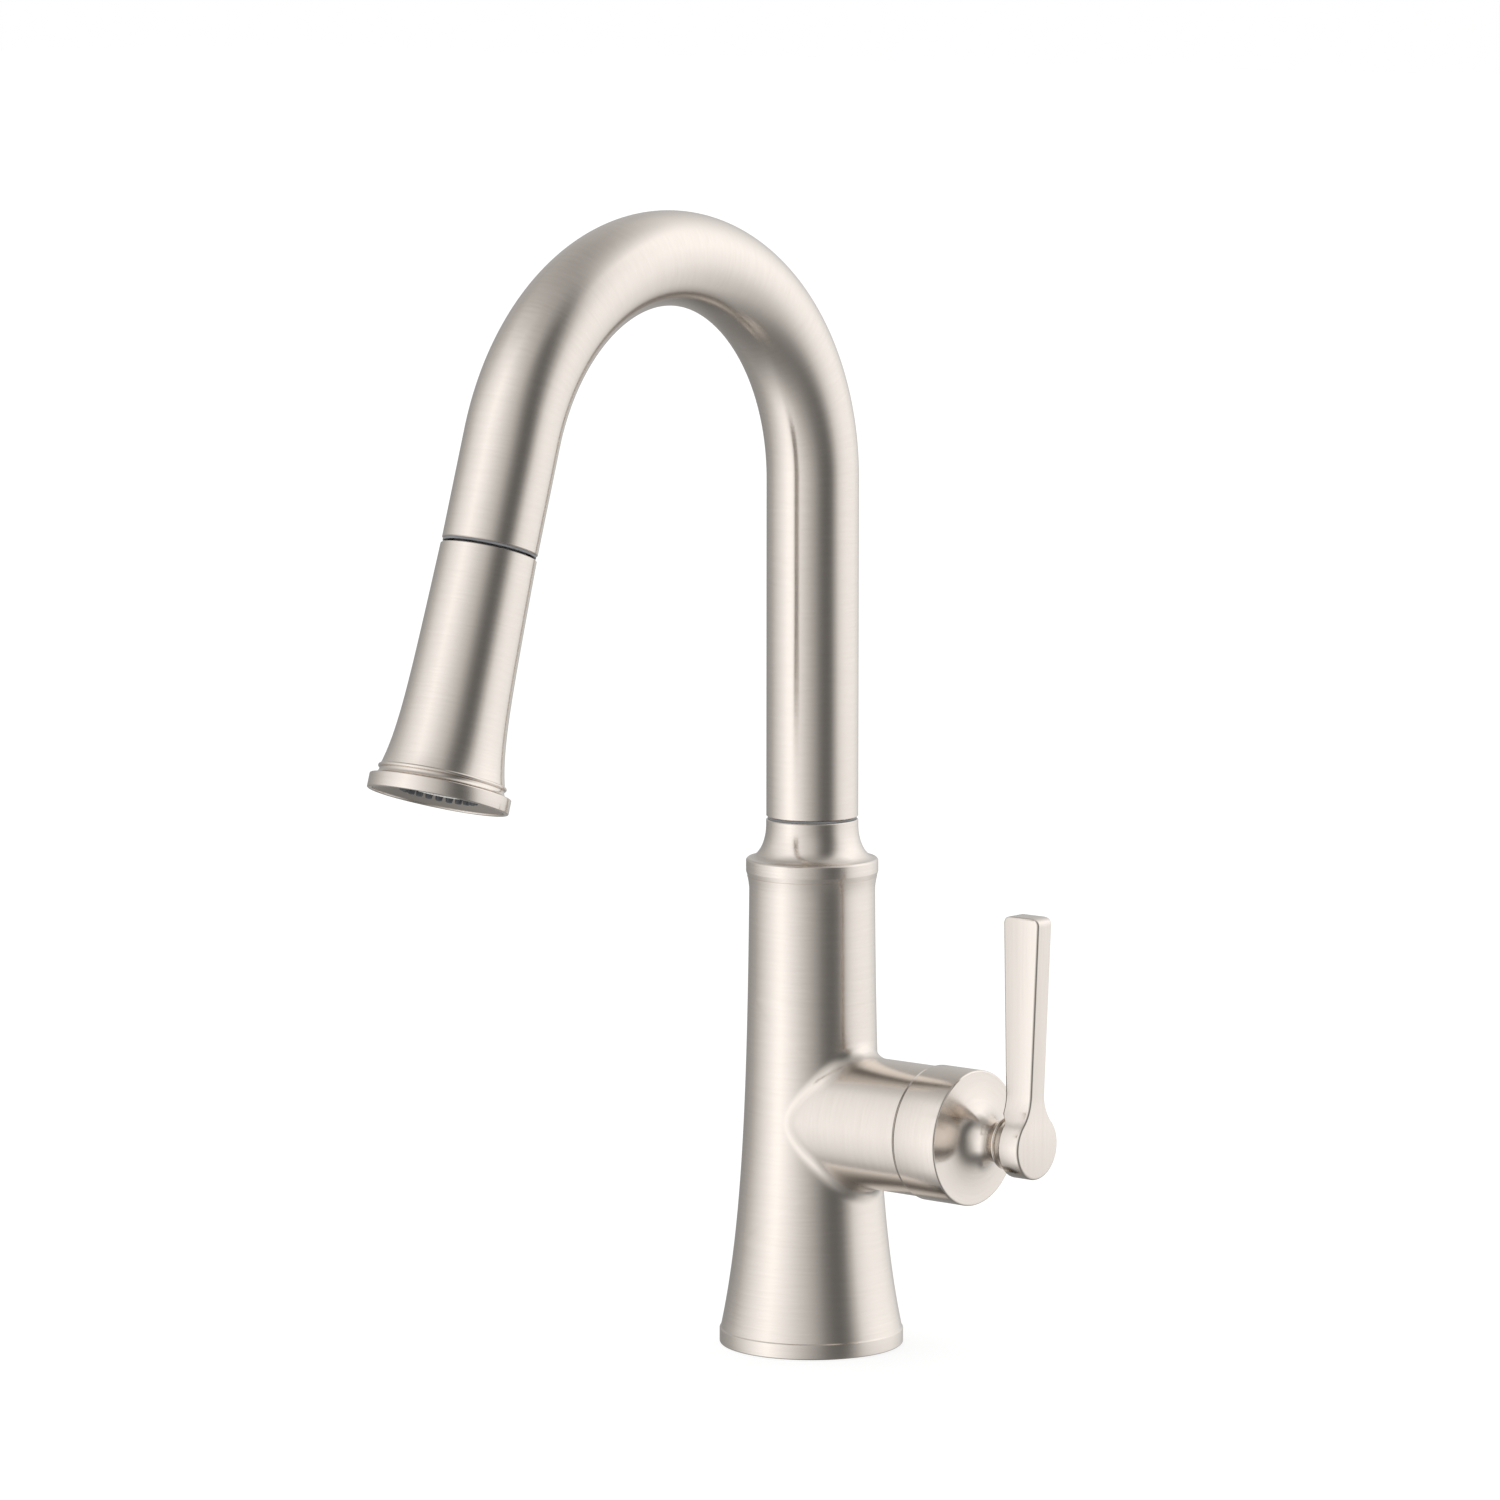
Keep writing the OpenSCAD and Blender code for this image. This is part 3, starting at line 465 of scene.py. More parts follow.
def contact_curves(angles):
    """Where a ball rolled along the joint of body and barrel touches each, and the ball's centre.

    The touch on the barrel is moved outwards at the sides, where the two run almost side by side.
    """
    centre, on_body, on_barrel = [], [], []
    for angle in angles:
        y = (BARREL_R + FILLET) * math.cos(angle)
        z = BARREL_Z + (BARREL_R + FILLET) * math.sin(angle)
        foot = z
        for _ in range(6):
            lean = math.atan(-body_slope(foot))
            foot = z - FILLET * math.sin(lean)
        reach = body_r(foot) + FILLET * math.cos(lean)
        x = math.sqrt(reach ** 2 - y ** 2)
        centre.append((x, y, z))
        share = body_r(foot) / reach
        on_body.append((x * share, y * share, foot))
        spread = x + FILLET_SPREAD * abs(math.cos(angle))
        on_barrel.append((spread, BARREL_R * math.cos(angle), BARREL_Z + BARREL_R * math.sin(angle)))
    return np.array(centre), np.array(on_body), np.array(on_barrel)


def body_patch(turn, height):
    """Points, grain and brush map of the flared body at angles turn and heights, both rows x columns."""
    radius = np.vectorize(body_r)(height)
    points = np.stack([radius * np.cos(turn), radius * np.sin(turn), height], -1)
    grain = np.stack([np.cos(turn), np.sin(turn), height * MM], -1)
    brush = np.stack([height * MM, turn * BRUSH_R * MM], -1)
    return points, grain, brush


def add_body_band(bm, low, high, start, end, columns, rows, wrap):
    heights = np.linspace(low, high, rows + 1)
    turns = np.linspace(start, end, columns + (0 if wrap else 1), endpoint=not wrap)
    turn, height = np.meshgrid(turns, heights)
    add_grid(bm, *body_patch(turn, height), wrap_columns=wrap, lap=2 * math.pi * BRUSH_R * MM)


def body_casting():
    """The flared body with its barrel, joined by a rolled fillet, bored out like the casting."""
    window, half_height = math.radians(112.5), 40
    low, high = BARREL_Z - half_height, BARREL_Z + half_height
    wide, tall = 120, 40
    bm = new_bmesh()
    add_body_band(bm, BASE_H, low, 0, 2 * math.pi, ROUND, 28, True)
    add_body_band(bm, high, BODY_TOP, 0, 2 * math.pi, ROUND, 36, True)
    add_body_band(bm, low, high, window, 2 * math.pi - window, ROUND - wide, tall, False)
    across = np.linspace(-window, window, wide + 1)
    upward = np.linspace(low, high, tall + 1)
    border = [(a, low) for a in across[:-1]] + [(window, z) for z in upward[:-1]]
    border += [(a, high) for a in across[:0:-1]] + [(-window, z) for z in upward[:0:-1]]
    border = np.array(border)
    angles = np.arctan2((border[:, 1] - BARREL_Z) / (high - BARREL_Z), border[:, 0] / window)
    centre, on_body, on_barrel = contact_curves(angles)
    rim = np.stack([np.arctan2(on_body[:, 1], on_body[:, 0]), on_body[:, 2]], -1)
    share = (np.linspace(0, 1, 15) ** 1.3)[:, None, None]
    spread = rim[None] * (1 - share) + border[None] * share
    add_grid(bm, *body_patch(spread[..., 0], spread[..., 1]), wrap_columns=True)
    add_fillet(bm, centre, on_body, on_barrel)
    add_barrel(bm, angles, on_barrel)
    close_rims(bm)
    piece = finish_mesh("body_casting", bm, None, None, NICKEL)
    bore_body(piece)
    piece.data.shade_smooth()
    piece.data.set_sharp_from_angle(angle=math.radians(28))
    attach(piece, "body")
    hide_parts("body_shell")


def add_fillet(bm, centre, on_body, on_barrel):
    """A smooth blend that leaves the body and reaches the barrel without a crease."""
    rows, depth = 12, 0.008
    outward = (centre - on_body) / FILLET
    chord = on_barrel - on_body
    length = np.linalg.norm(chord, axis=1)[:, None]
    leave = chord - (chord * outward).sum(-1)[:, None] * outward
    leave /= np.linalg.norm(leave, axis=1)[:, None]
    bend = np.arccos(np.clip(leave[:, :1], -1, 1)) / (math.pi / 2)
    pull = length * (1 + 0.17 * bend ** 2)
    t = np.linspace(0, 1, rows + 1)[:, None, None]
    points = ((2 * t ** 3 - 3 * t ** 2 + 1) * on_body + (t ** 3 - 2 * t ** 2 + t) * leave * pull
              + (3 * t ** 2 - 2 * t ** 3) * on_barrel + (t ** 3 - t ** 2) * np.array((1, 0, 0)) * pull)
    around = np.arctan2(on_barrel[:, 2] - BARREL_Z, on_barrel[:, 1])
    shape = points.shape[:2]
    grain = np.stack([np.broadcast_to(np.cos(around), shape), np.broadcast_to(np.sin(around), shape),
                      np.broadcast_to(t[..., 0] * depth, shape)], -1)
    brush = np.stack([grain[..., 2], np.broadcast_to(around * BARREL_R * MM, shape)], -1)
    add_grid(bm, points, grain, brush, wrap_columns=True)


def add_barrel(bm, angles, on_barrel):
    """The barrel, from where the fillet reaches it to its bevelled end."""
    rows, bevel = 24, 0.35
    share = np.linspace(0, 1, rows + 1)[:, None]
    x = on_barrel[None, :, 0] * (1 - share) + (BARREL_END - bevel) * share
    radius = np.full(rows + 1, BARREL_R)
    x = np.vstack([x, np.full((1, len(angles)), BARREL_END)])
    radius = np.append(radius, BARREL_R - bevel)[:, None]
    points = np.stack([x, radius * np.cos(angles), BARREL_Z + radius * np.sin(angles)], -1)
    shape = x.shape
    grain = np.stack([np.broadcast_to(np.cos(angles), shape), np.broadcast_to(np.sin(angles), shape),
                      x * MM], -1)
    brush = np.stack([x * MM, np.broadcast_to(angles * BARREL_R * MM, shape)], -1)
    add_grid(bm, points, grain, brush, wrap_columns=True)


def close_rims(bm):
    """Fills each open rim with one flat face."""
    bmesh.ops.remove_doubles(bm, verts=bm.verts, dist=0.002)
    open_edges = [e for e in bm.edges if len(e.link_faces) == 1]
    bmesh.ops.holes_fill(bm, edges=open_edges, sides=0)


def bore_body(piece):
    """Cuts the shank socket, the bush bore, the cavity and the cartridge's bores."""
    wall, floor, roof, block = 3.2, 20, 136, 5.2
    cavity = [(0, floor)] + curve(lambda z: body_r(z) - wall, floor, roof, 24) + [(0, roof)]
    cavity = tool_lathe([(p[0], p[1]) for p in cavity])
    cut(cavity, tool_lathe(rod(BARREL_R, block, BARREL_END), ON_BARREL))
    cut(piece, cavity)
    cut(piece, tool_lathe(rod(SHANK_R, BASE_H - 2, SHANK_TOP + 3)))
    cut(piece, tool_lathe(rod(BUSH_R, roof - 1, BODY_TOP + 2)))
    bore = [(0, SEAT_X), (CARTRIDGE_R, SEAT_X), (CARTRIDGE_R, NUT_X), (NUT_R, NUT_X),
            (NUT_R, BARREL_END + 2), (0, BARREL_END + 2)]
    cut(piece, tool_lathe(bore, ON_BARREL))


# ---------- spout ----------
TUBE_R = size_of("spout_tube")[1][0]
TUBE_WALL = 1.8
SWIVEL_Z = size_of("spout_tube")[0][2]
SWEEP = math.atan2(-DOWN[1], DOWN[2])


def gooseneck_sizes():
    """Radius and centre height of the bend and length of the straight nose, from the seam and the top."""
    top = size_of("spout_tube")[1][2] - TUBE_R
    sides = np.array([[math.cos(SWEEP) - 1, DOWN[1]], [math.sin(SWEEP) - 1, DOWN[2]]])
    bend_r, nose = np.linalg.solve(sides, np.array([SEAM[1], SEAM[2] - top]))
    return bend_r, top - bend_r, nose


BEND_R, BEND_Z, NOSE = gooseneck_sizes()
BEND_LENGTH = BEND_R * SWEEP
RISER = BEND_Z - SWIVEL_Z
SPOUT_LENGTH = RISER + BEND_LENGTH + NOSE


def on_gooseneck(s):
    """The spout's centre line: up the riser, round the bend, and straight to the seam."""
    s = np.asarray(s, float)
    turn = np.clip((s - RISER) / BEND_R, 0, SWEEP)
    rise = np.clip(s, 0, RISER) + BEND_R * np.sin(turn)
    run = BEND_R * (1 - np.cos(turn))
    beyond = np.clip(s - RISER - BEND_LENGTH, 0, None)
    centre = np.stack([0 * s, -run, SWIVEL_Z + rise], -1) + beyond[:, None] * DOWN
    centre = centre + np.minimum(s, 0)[:, None] * np.array((0, 0, 1))
    first = np.stack([np.ones_like(s), 0 * s, 0 * s], -1)
    second = np.stack([0 * s, np.cos(turn), np.sin(turn)], -1)
    return centre, first, second


def gooseneck():
    """The spout's tube, open at both ends, down to the small gap over the dock ring."""
    bevel, mouth_gap = 0.3, 1.2
    end, inner = SPOUT_LENGTH - mouth_gap, TUBE_R - TUBE_WALL
    stations = np.concatenate([np.linspace(bevel, RISER, 40), RISER + np.linspace(0, BEND_LENGTH, 120)[1:],
                               np.linspace(RISER + BEND_LENGTH, end - bevel, 14)[1:]])
    outline = [(inner, 0), (TUBE_R - bevel, 0)] + [(TUBE_R, s) for s in stations]
    outline += [(TUBE_R - bevel, end), (inner, end)] + [(inner, s) for s in stations[::-1]]
    lathe("gooseneck", outline, "spout", ["spout_tube"], NICKEL, on_gooseneck)


def collar_ring():
    """The collar: a plain band with a rounded shoulder and a cove up to the spout."""
    foot, top, edge = BODY_TOP, SWIVEL_Z - 0.85, 0.3
    band, throat, bore = 21.6, TUBE_R + 0.05, 13.3
    shoulder, cove_foot, bush_top = 160.3, 160.9, 165.2
    cove_w, cove_h = 6.0, 10.9
    cove = [(throat + cove_w * (1 - math.sin(a)), cove_foot + cove_h * (1 - math.cos(a)))
            for a in np.linspace(0, math.pi / 2, 20)]
    corners = [(BUSH_R, foot), (band - 0.5, foot), (band, foot + 1.6, 0.3), (band, shoulder, 0.35),
               (cove[0][0], cove_foot, 0.1)]
    outline = list(rounded(corners, 4)) + cove[1:]
    outline += [(throat, top - edge), (throat - edge, top), (bore, top), (bore, bush_top),
                (BUSH_R, bush_top)]
    lathe("collar_ring", outline, "body", ["swivel_collar"], NICKEL)


def dock_ring():
    """Grey guide in the spout's mouth, whose rim shows as the thin line at the seam."""
    inner, fit, rim = 11.7, TUBE_R - TUBE_WALL, TUBE_R - 0.35
    top, shelf, lip, seat = -14, -1.15, -0.45, -3
    outline = rounded([(inner, top), (fit, top), (fit, shelf), (rim, shelf), (rim, lip, 0.12),
                       (rim - 0.7, lip, 0.12), (rim - 0.9, seat), (inner, seat)])
    lathe("dock_ring", outline, "spout", ["dock_bush"], GREY_PLASTIC, ON_HEAD)


def hose_braid():
    """The hose between spout and head, which shows when the head is pulled out."""
    radius = 4.75
    start, end = -24.0, -7.0
    s = np.linspace(start, end, 90)
    bm = new_bmesh()
    add_lathe(bm, [(0, start)] + [(radius, t) for t in s] + [(0, end)], ON_HEAD, closed=False, around=48)
    place = np.array([(np.array(v.co) - SEAM) @ DOWN for v in bm.verts])
    share = np.clip((place - start) / (end - start), 0, 1)
    pulled = start + share * (end - start) + share * share * (3 - 2 * share) * PULL
    layer = bm.verts.layers.float_vector["grain"]
    for vert, along in zip(bm.verts, pulled):
        vert[layer] = (vert[layer][0], vert[layer][1], along * MM)
    piece = finish_mesh("hose_braid", bm, None, None, BRAID)
    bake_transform(piece)


# ---------- spray head ----------
HEAD_LEN = 78.8
RIM_R, RIM_H = 22.1, 4.7
BEAD_S = 70.7
RIM_S = HEAD_LEN - RIM_H
BORE_R = 13.4
FACE_S = 74.6
ROCKER_S = 41.0
ROCKER_HALF = (4.8, 11.0)
ROCKER_REST = 5
# the head's back, the side that faces the riser
HEAD_BACK = np.cross((1, 0, 0), DOWN)


def head_r(s):
    """Radius of the spray head at s below the seam: a slight taper, then the flare down to the bead."""
    top_r, taper = 15.05, 0.0185
    flare, flare_s, flare_length = 3.1, 71, 11.5
    return top_r + taper * s + flare * math.exp((s - flare_s) / flare_length)


def head_casting():
    """The spray head's shell: a long bell, a bead, a cove and the rim band, with the rocker's window."""
    top, mouth_r, dish_r = 0.28, 12.2, 20.6
    outer = [(mouth_r, top), (head_r(top) - 0.25, top)] + curve(head_r, top + 0.25, BEAD_S, 60)
    waist = head_r(BEAD_S)
    bead = [(waist + 0.05 + 0.62 * math.sin(a), BEAD_S + 0.65 - 0.65 * math.cos(a))
            for a in np.linspace(0.5, math.pi, 9)]
    cove_r = 2.0
    cove = [(waist + 0.1 + cove_r * (1 - math.cos(a)), RIM_S - cove_r * (1 - math.sin(a)))
            for a in np.linspace(0.0, math.pi / 2 - 0.12, 10)]
    rim = rounded([cove[-1], (RIM_R, RIM_S, 0.35), (RIM_R, HEAD_LEN, 0.4), (dish_r, HEAD_LEN, 0.3),
                   (dish_r, HEAD_LEN - 1.2)], 5)[1:]
    inner = [(dish_r, 75.2), (17.8, 73.4), (17.3, 69), (15.4, 63), (BORE_R, 58), (BORE_R, 2), (mouth_r, 2)]
    piece = lathe("head_casting", outer + bead + cove + list(rim) + inner, None, None, NICKEL, ON_HEAD)
    cut(piece, stadium_tool(ROCKER_HALF[0] + 0.5, ROCKER_HALF[1] + 0.7))
    piece.data.shade_smooth()
    piece.data.set_sharp_from_angle(angle=math.radians(28))
    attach(piece, "spray_head")
    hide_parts("head_shell")


def stadium(half_w, half_l, steps=12):
    """Outline of a slot with round ends, as (across, along) pairs."""
    straight_l = half_l - half_w
    points = []
    for end in (1, -1):
        for a in np.linspace(0, math.pi, steps + 1):
            points.append((end * half_w * math.cos(a), end * (straight_l + half_w * math.sin(a))))
    return points


def on_back(across, out, s):
    """A point on the head's back."""
    return SEAM + np.array((1, 0, 0)) * across + HEAD_BACK * out + DOWN * s


def stadium_tool(half_w, half_l):
    """A tool for the rocker's window in the head's back."""
    bm = new_bmesh()
    rings = []
    for out in (6, 24):
        rings.append([bm.verts.new(on_back(x, out, ROCKER_S + t)) for x, t in stadium(half_w, half_l)])
    count = len(rings[0])
    for i in range(count):
        bm.faces.new((rings[0][i], rings[0][(i + 1) % count], rings[1][(i + 1) % count], rings[1][i]))
    bm.faces.new(rings[0])
    bm.faces.new(rings[1][::-1])
    return finish_mesh("tool", bm, None, None, PLAIN)


def rocker_pad():
    """The rocker: a pad with round ends and soft edges that follows the head, lifted at both ends."""
    half_w, half_l = ROCKER_HALF
    depth, proud, edge, end_rise = 2.4, 0.25, 0.6, 0.35
    layers = [(0, -depth), (0, proud)]
    layers += [(edge * (1 - math.cos(a)), proud + edge * math.sin(a))
               for a in np.linspace(0.2, math.pi / 2, 6)]
    layers += [(inset, proud + edge) for inset in (1.4, 2.4, 3.4, half_w - 0.02)]
    bm = new_bmesh()
    points = []
    for inset, lift in layers:
        ring = []
        for x, t in stadium(half_w - inset, half_l - inset, 16):
            rise = lift + (end_rise * (t / half_l) ** 2 if lift > proud else 0)
            out = math.sqrt((head_r(ROCKER_S + t) + rise) ** 2 - x * x)
            ring.append(on_back(x, out, ROCKER_S + t))
        points.append(ring)
    points = np.array(points)
    grain = points * MM
    verts = add_grid(bm, points, grain, grain[..., :2], wrap_columns=True)
    bm.faces.new(verts[0][::-1])
    tilt_rocker(bm)
    piece = finish_mesh("rocker_pad", bm, "rocker", ["mode_rocker"], GREY_PLASTIC, 40)


def tilt_rocker(bm):
    """Tips the rocker to the place it rests in."""
    pivot = Vector(np.array(JOINTS["rocker_press"]["pos_m"]) / MM)
    tilt = Matrix.Rotation(math.radians(-ROCKER_REST), 3, "X")
    bmesh.ops.rotate(bm, cent=pivot, matrix=tilt, verts=bm.verts)


def face_plate():
    """The dished face: a satin cone down from the rim to the ring of nozzles."""
    hole_r, flat_r, cone_r, edge_r, skirt_r = 8.45, 13.9, 19.9, 20.5, 14.9
    front, brim, skirt_top = FACE_S + 0.9, HEAD_LEN - 0.5, 68
    outline = rounded([(hole_r, front, 0.15), (flat_r, front, 0.6), (cone_r, brim, 0.4),
                       (edge_r, brim, 0.2), (edge_r, HEAD_LEN - 2.2), (skirt_r, FACE_S - 0.4),
                       (skirt_r, skirt_top), (flat_r, skirt_top), (flat_r, FACE_S), (hole_r, FACE_S)])
    lathe("face_plate", outline, "spray_head", ["spray_face"], NICKEL_INSIDE, ON_HEAD)


def nozzle_ring():
    """Rubber mat with its ring of nozzles, each a tapered nipple with a dimple."""
    count, ring_r = 22, 11.3
    top, tip = FACE_S, 77.55
    mat_in, mat_out, mat_back, mat_front = 8.9, 13.8, 72.4, FACE_S + 0.95
    bm = new_bmesh()
    mat = [(mat_in, mat_back), (mat_out, mat_back), (mat_out, mat_front), (mat_in, mat_front)]
    add_lathe(bm, rounded(mat), ON_HEAD)
    nipple = rounded([(0, top), (1.3, top), (1.3, top + 1, 0.2), (0.98, tip, 0.3), (0.42, tip, 0.12),
                      (0.38, tip - 1.4), (0, tip - 1.4)], 4)
    for i in range(count):
        turn = 2 * math.pi * i / count
        across = np.array((1, 0, 0)) * math.cos(turn) - HEAD_BACK * math.sin(turn)
        add_lathe(bm, nipple, straight(SEAM + across * ring_r, DOWN, (1, 0, 0)), closed=False, around=20)
    piece = finish_mesh("nozzle_ring", bm, "spray_head", ["nozzle_mat"], GREY_RUBBER, 40)


# ---------- handle ----------
CAP_R = size_of("handle_cap")[1][1]
CAP_BACK = size_of("handle_cap")[0][0]
CAP_FACE = 68.0
CAP_EDGE = 0.6
NECK_END = 77.4
NECK_R = 6.7
HUB_BACK, HUB_FACE = 85.0, 93.2
HUB_R = size_of("handle_lever")[1][1]
LEVER_TOP = size_of("handle_lever")[1][2]
BLADE_HALF = 3.7
SCREW_X = np.mean([corner[0] for corner in size_of("handle_set_screw")])


def bell(t):
    """The cap's dished face: from its rim at t = 0 it runs flat and then sweeps up to the neck at t = 1."""
    radius = NECK_R + (CAP_R - CAP_EDGE - NECK_R) * (1 - t) ** 2.2
    return radius, CAP_FACE + (NECK_END - CAP_FACE) * t ** 2


def cap_bell():
    """The cap, hollow behind its dished face, with the neck bored for the collar and for the stem."""
    core, stem_r, bore_r = 4, 4.2, 19.9
    core_end, stem_end, bore_end = 75, 74, 60
    dish = [bell(t) for t in np.linspace(0, 1, 49)][::-1]
    outline = [(0, core_end), (core, core_end), (core, NECK_END)] + dish
    outline += list(rounded([dish[-1], (CAP_R, CAP_FACE + 0.02, CAP_EDGE), (CAP_R, CAP_BACK, 0.3),
                             (21.5, CAP_BACK), (bore_r, CAP_BACK + 2.5)], 5)[1:])
    outline += [(bore_r, bore_end), (stem_r, bore_end), (stem_r, stem_end), (0, stem_end)]
    lathe("cap_bell", outline, "handle", ["handle_cap"], NICKEL, ON_BARREL, closed=False)


def slim_collar():
    """The double flare between the neck and the lever's hub."""
    core, core_end, throat = 4, 75.2, NECK_R - 0.3
    first_r, waist_r, second_r = 8.5, 7.9, 9.6
    step, lip, back = 81.3, 0.35, HUB_BACK - 0.02
    spigot, spigot_end = 5, HUB_BACK + 4.4
    corners = [(0, core_end), (core, core_end), (core, NECK_END), (throat, NECK_END),
               (throat, NECK_END + 0.3), (first_r, step - lip, 0.15), (first_r, step, 0.15),
               (waist_r, step + 0.1),
               (second_r, HUB_BACK - lip, 0.15), (second_r, back), (spigot, back), (spigot, spigot_end),
               (0, spigot_end)]
    lathe("slim_collar", rounded(corners, 4), "handle", ["lever_collar"], NICKEL, ON_BARREL, closed=False)


def lever_outline():
    """Right half of the lever's front outline, (across, height), from the hub's bottom to the tip."""
    fillet = 14.0
    gap, side = HUB_R + fillet, BLADE_HALF + fillet
    rise = math.sqrt(gap * gap - side * side)
    hub_end = math.atan2(rise, side)
    corner = 0.7
    points = [(HUB_R * math.cos(a), HUB_R * math.sin(a)) for a in np.linspace(-math.pi / 2, hub_end, 48)]
    start = math.pi + hub_end
    points += [(side + fillet * math.cos(a), rise + fillet * math.sin(a))
               for a in np.linspace(start, math.pi, 14)[1:]]
    top = LEVER_TOP - BARREL_Z
    fine = top - 6
    points += [(BLADE_HALF, h) for h in np.linspace(rise, fine, 30)[1:]]
    points += [(BLADE_HALF, h) for h in np.linspace(fine, top - corner, 14)[1:]]
    points += [(BLADE_HALF - corner * (1 - math.cos(a)), top - corner * (1 - math.sin(a)))
               for a in np.linspace(0, math.pi / 2, 6)[1:]]
    points += [(w, top) for w in np.linspace(BLADE_HALF - corner, 0, 5)[1:]]
    return np.array(points)


def lever_reach(height, outer):
    """How far along X the lever goes at a height above the hub's centre.

    The front leans out above the hub. The back steps inwards over the collar, just above the hub.
    """
    knee, top, tip = 15.0, LEVER_TOP - BARREL_Z, 2.5
    step_foot, step_height, step_depth = 7.5, 3.5, 2.2
    lean_front, lean_back = 2.6, 1.2
    share = np.clip((height - knee) / (top - knee), 0, 1)
    step = np.clip((height - step_foot) / step_height, 0, 1)
    back = HUB_BACK - step_depth * step * step * (3 - 2 * step) - lean_back * share
    far = HUB_FACE + lean_front * share if outer else back
    above = np.clip(height - (top - tip), 0, tip)
    inward = tip - np.sqrt(tip ** 2 - above ** 2)
    return far - inward if outer else far + inward


def lever_blade():
    """The lever: the front outline with bevelled edges, as deep as lever_reach says at each height."""
    bevel, steps = 0.9, 4
    right = lever_outline()
    along = np.gradient(right, axis=0)
    along /= np.linalg.norm(along, axis=1)[:, None]
    outward = np.stack([along[:, 1], -along[:, 0]], -1)
    outward[0], outward[-1] = (0, -1), (0, 1)
    rows = []
    for outer in (False, True):
        sign = 1 if outer else -1
        angles = np.linspace(0, math.pi / 2, steps + 1)
        for a in angles if outer else angles[::-1]:
            flat = right - outward * bevel * (1 - math.cos(a))
            flat[:, 0] = np.maximum(flat[:, 0], 0)
            depth = lever_reach(flat[:, 1], outer) - sign * bevel * (1 - math.sin(a))
            rows.append(np.stack([depth, flat[:, 0], flat[:, 1] + BARREL_Z], -1))
    rows = np.array(rows)
    left = rows[:, -2:0:-1] * np.array((1, -1, 1))
    loop = np.concatenate([rows, left], 1)
    bm = new_bmesh()
    add_grid(bm, loop, *lever_maps(loop), wrap_columns=True)
    for row in (rows[0], rows[-1]):
        strip = np.stack([row, row * np.array((1, -1, 1))], 1)
        add_grid(bm, strip, *lever_maps(strip))
    piece = finish_mesh("lever_blade", bm, None, None, NICKEL_SATIN, 24)
    spigot_r, spigot_depth, screw_r, screw_depth = 5.02, 4.42, 2.02, 14
    cut(piece, tool_lathe(rod(spigot_r, HUB_BACK - 1, HUB_BACK + spigot_depth), ON_BARREL))
    screw = straight(np.array((SCREW_X, 0, BARREL_Z)), (0, 1, 0), (1, 0, 0))
    cut(piece, tool_lathe(rod(screw_r, 0, screw_depth), screw))
    piece.data.shade_smooth()
    piece.data.set_sharp_from_angle(angle=math.radians(24))
    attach(piece, "handle")
    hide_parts("handle_lever")


def lever_maps(points):
    """Grain and brush map of the lever, whose brush lines run up its length."""
    grain = points * MM
    return grain, np.stack([points[..., 2] * MM, (points[..., 0] + points[..., 1]) * MM], -1)


# ---------- studio ----------
def camera():
    """The photograph's camera, as its perspective was fitted."""
    azimuth, pitch, roll = math.radians(39.786), math.radians(7.2757), math.radians(0.033)
    right = Vector((math.cos(azimuth), math.sin(azimuth), 0))
    level = math.cos(pitch)
    back = Vector((math.sin(azimuth) * level, -math.cos(azimuth) * level, math.sin(pitch)))
    turn = Matrix((right, back.cross(right), back)).transposed() @ Matrix.Rotation(roll, 3, "Z")
    lens = bpy.data.cameras.new("camera")
    lens.lens = 165.2
    lens.sensor_width = 36.0
    place = Vector((1.4075, -1.7219, 0.4801))
    eye = bpy.data.objects.new("camera", lens)
    eye.matrix_world = Matrix.Translation(place) @ turn.to_4x4()
    bpy.context.scene.collection.objects.link(eye)
    bpy.context.scene.camera = eye


# Brightness of the studio by compass angle: soft panels with dark gaps between them. There is one list for
# each height of the direction, from -1, down, to 1, up. None keeps the list before it up to that height.
STUDIO = [
    (-1.0, [(-180, 0.22), (180, 0.22)]),
    (-0.7, [(-180, 0.38), (-170, 0.44), (-150, 0.70), (-130, 1.05), (-110, 1.26), (-90, 0.98),
            (-70, 0.66), (-50, 0.42), (-30, 0.26), (-10, 0.20), (10, 0.31), (30, 0.57), (50, 0.70),
            (70, 0.74), (90, 0.39), (110, 0.16), (130, 0.24), (150, 0.26), (170, 0.33), (180, 0.38)]),
    (-0.1, [(-180, 0.46), (-173, 0.50), (-156, 0.75), (-142, 0.96), (-130, 1.14), (-118, 1.34),
            (-108, 1.42), (-97, 1.27), (-87, 1.09), (-78, 0.94), (-69, 0.78), (-59, 0.63), (-50, 0.49),
            (-41, 0.36), (-32, 0.225), (-22, 0.16), (-13, 0.15), (-3, 0.21), (7, 0.50), (18, 0.88),
            (29, 1.04), (42, 1.13), (56, 1.15), (73, 1.12), (97, 0.90), (113, 0.64), (130, 0.47),
            (147, 0.33), (162, 0.36), (180, 0.46)]),
    (0.3, [(-180, 0.58), (-170, 0.66), (-150, 0.93), (-130, 1.13), (-110, 1.30), (-90, 1.11),
           (-70, 0.86), (-50, 0.62), (-30, 0.27), (-20, 0.17), (-10, 0.15), (0, 0.24), (10, 0.56),
           (20, 0.96), (35, 1.22), (50, 1.34), (70, 1.32), (90, 1.10), (110, 0.85), (130, 0.58),
           (150, 0.48), (170, 0.50), (180, 0.58)]),
    (0.7, None),
    (1.0, [(-180, 0.42), (180, 0.42)]),
]
BRIGHTEST = 1.5


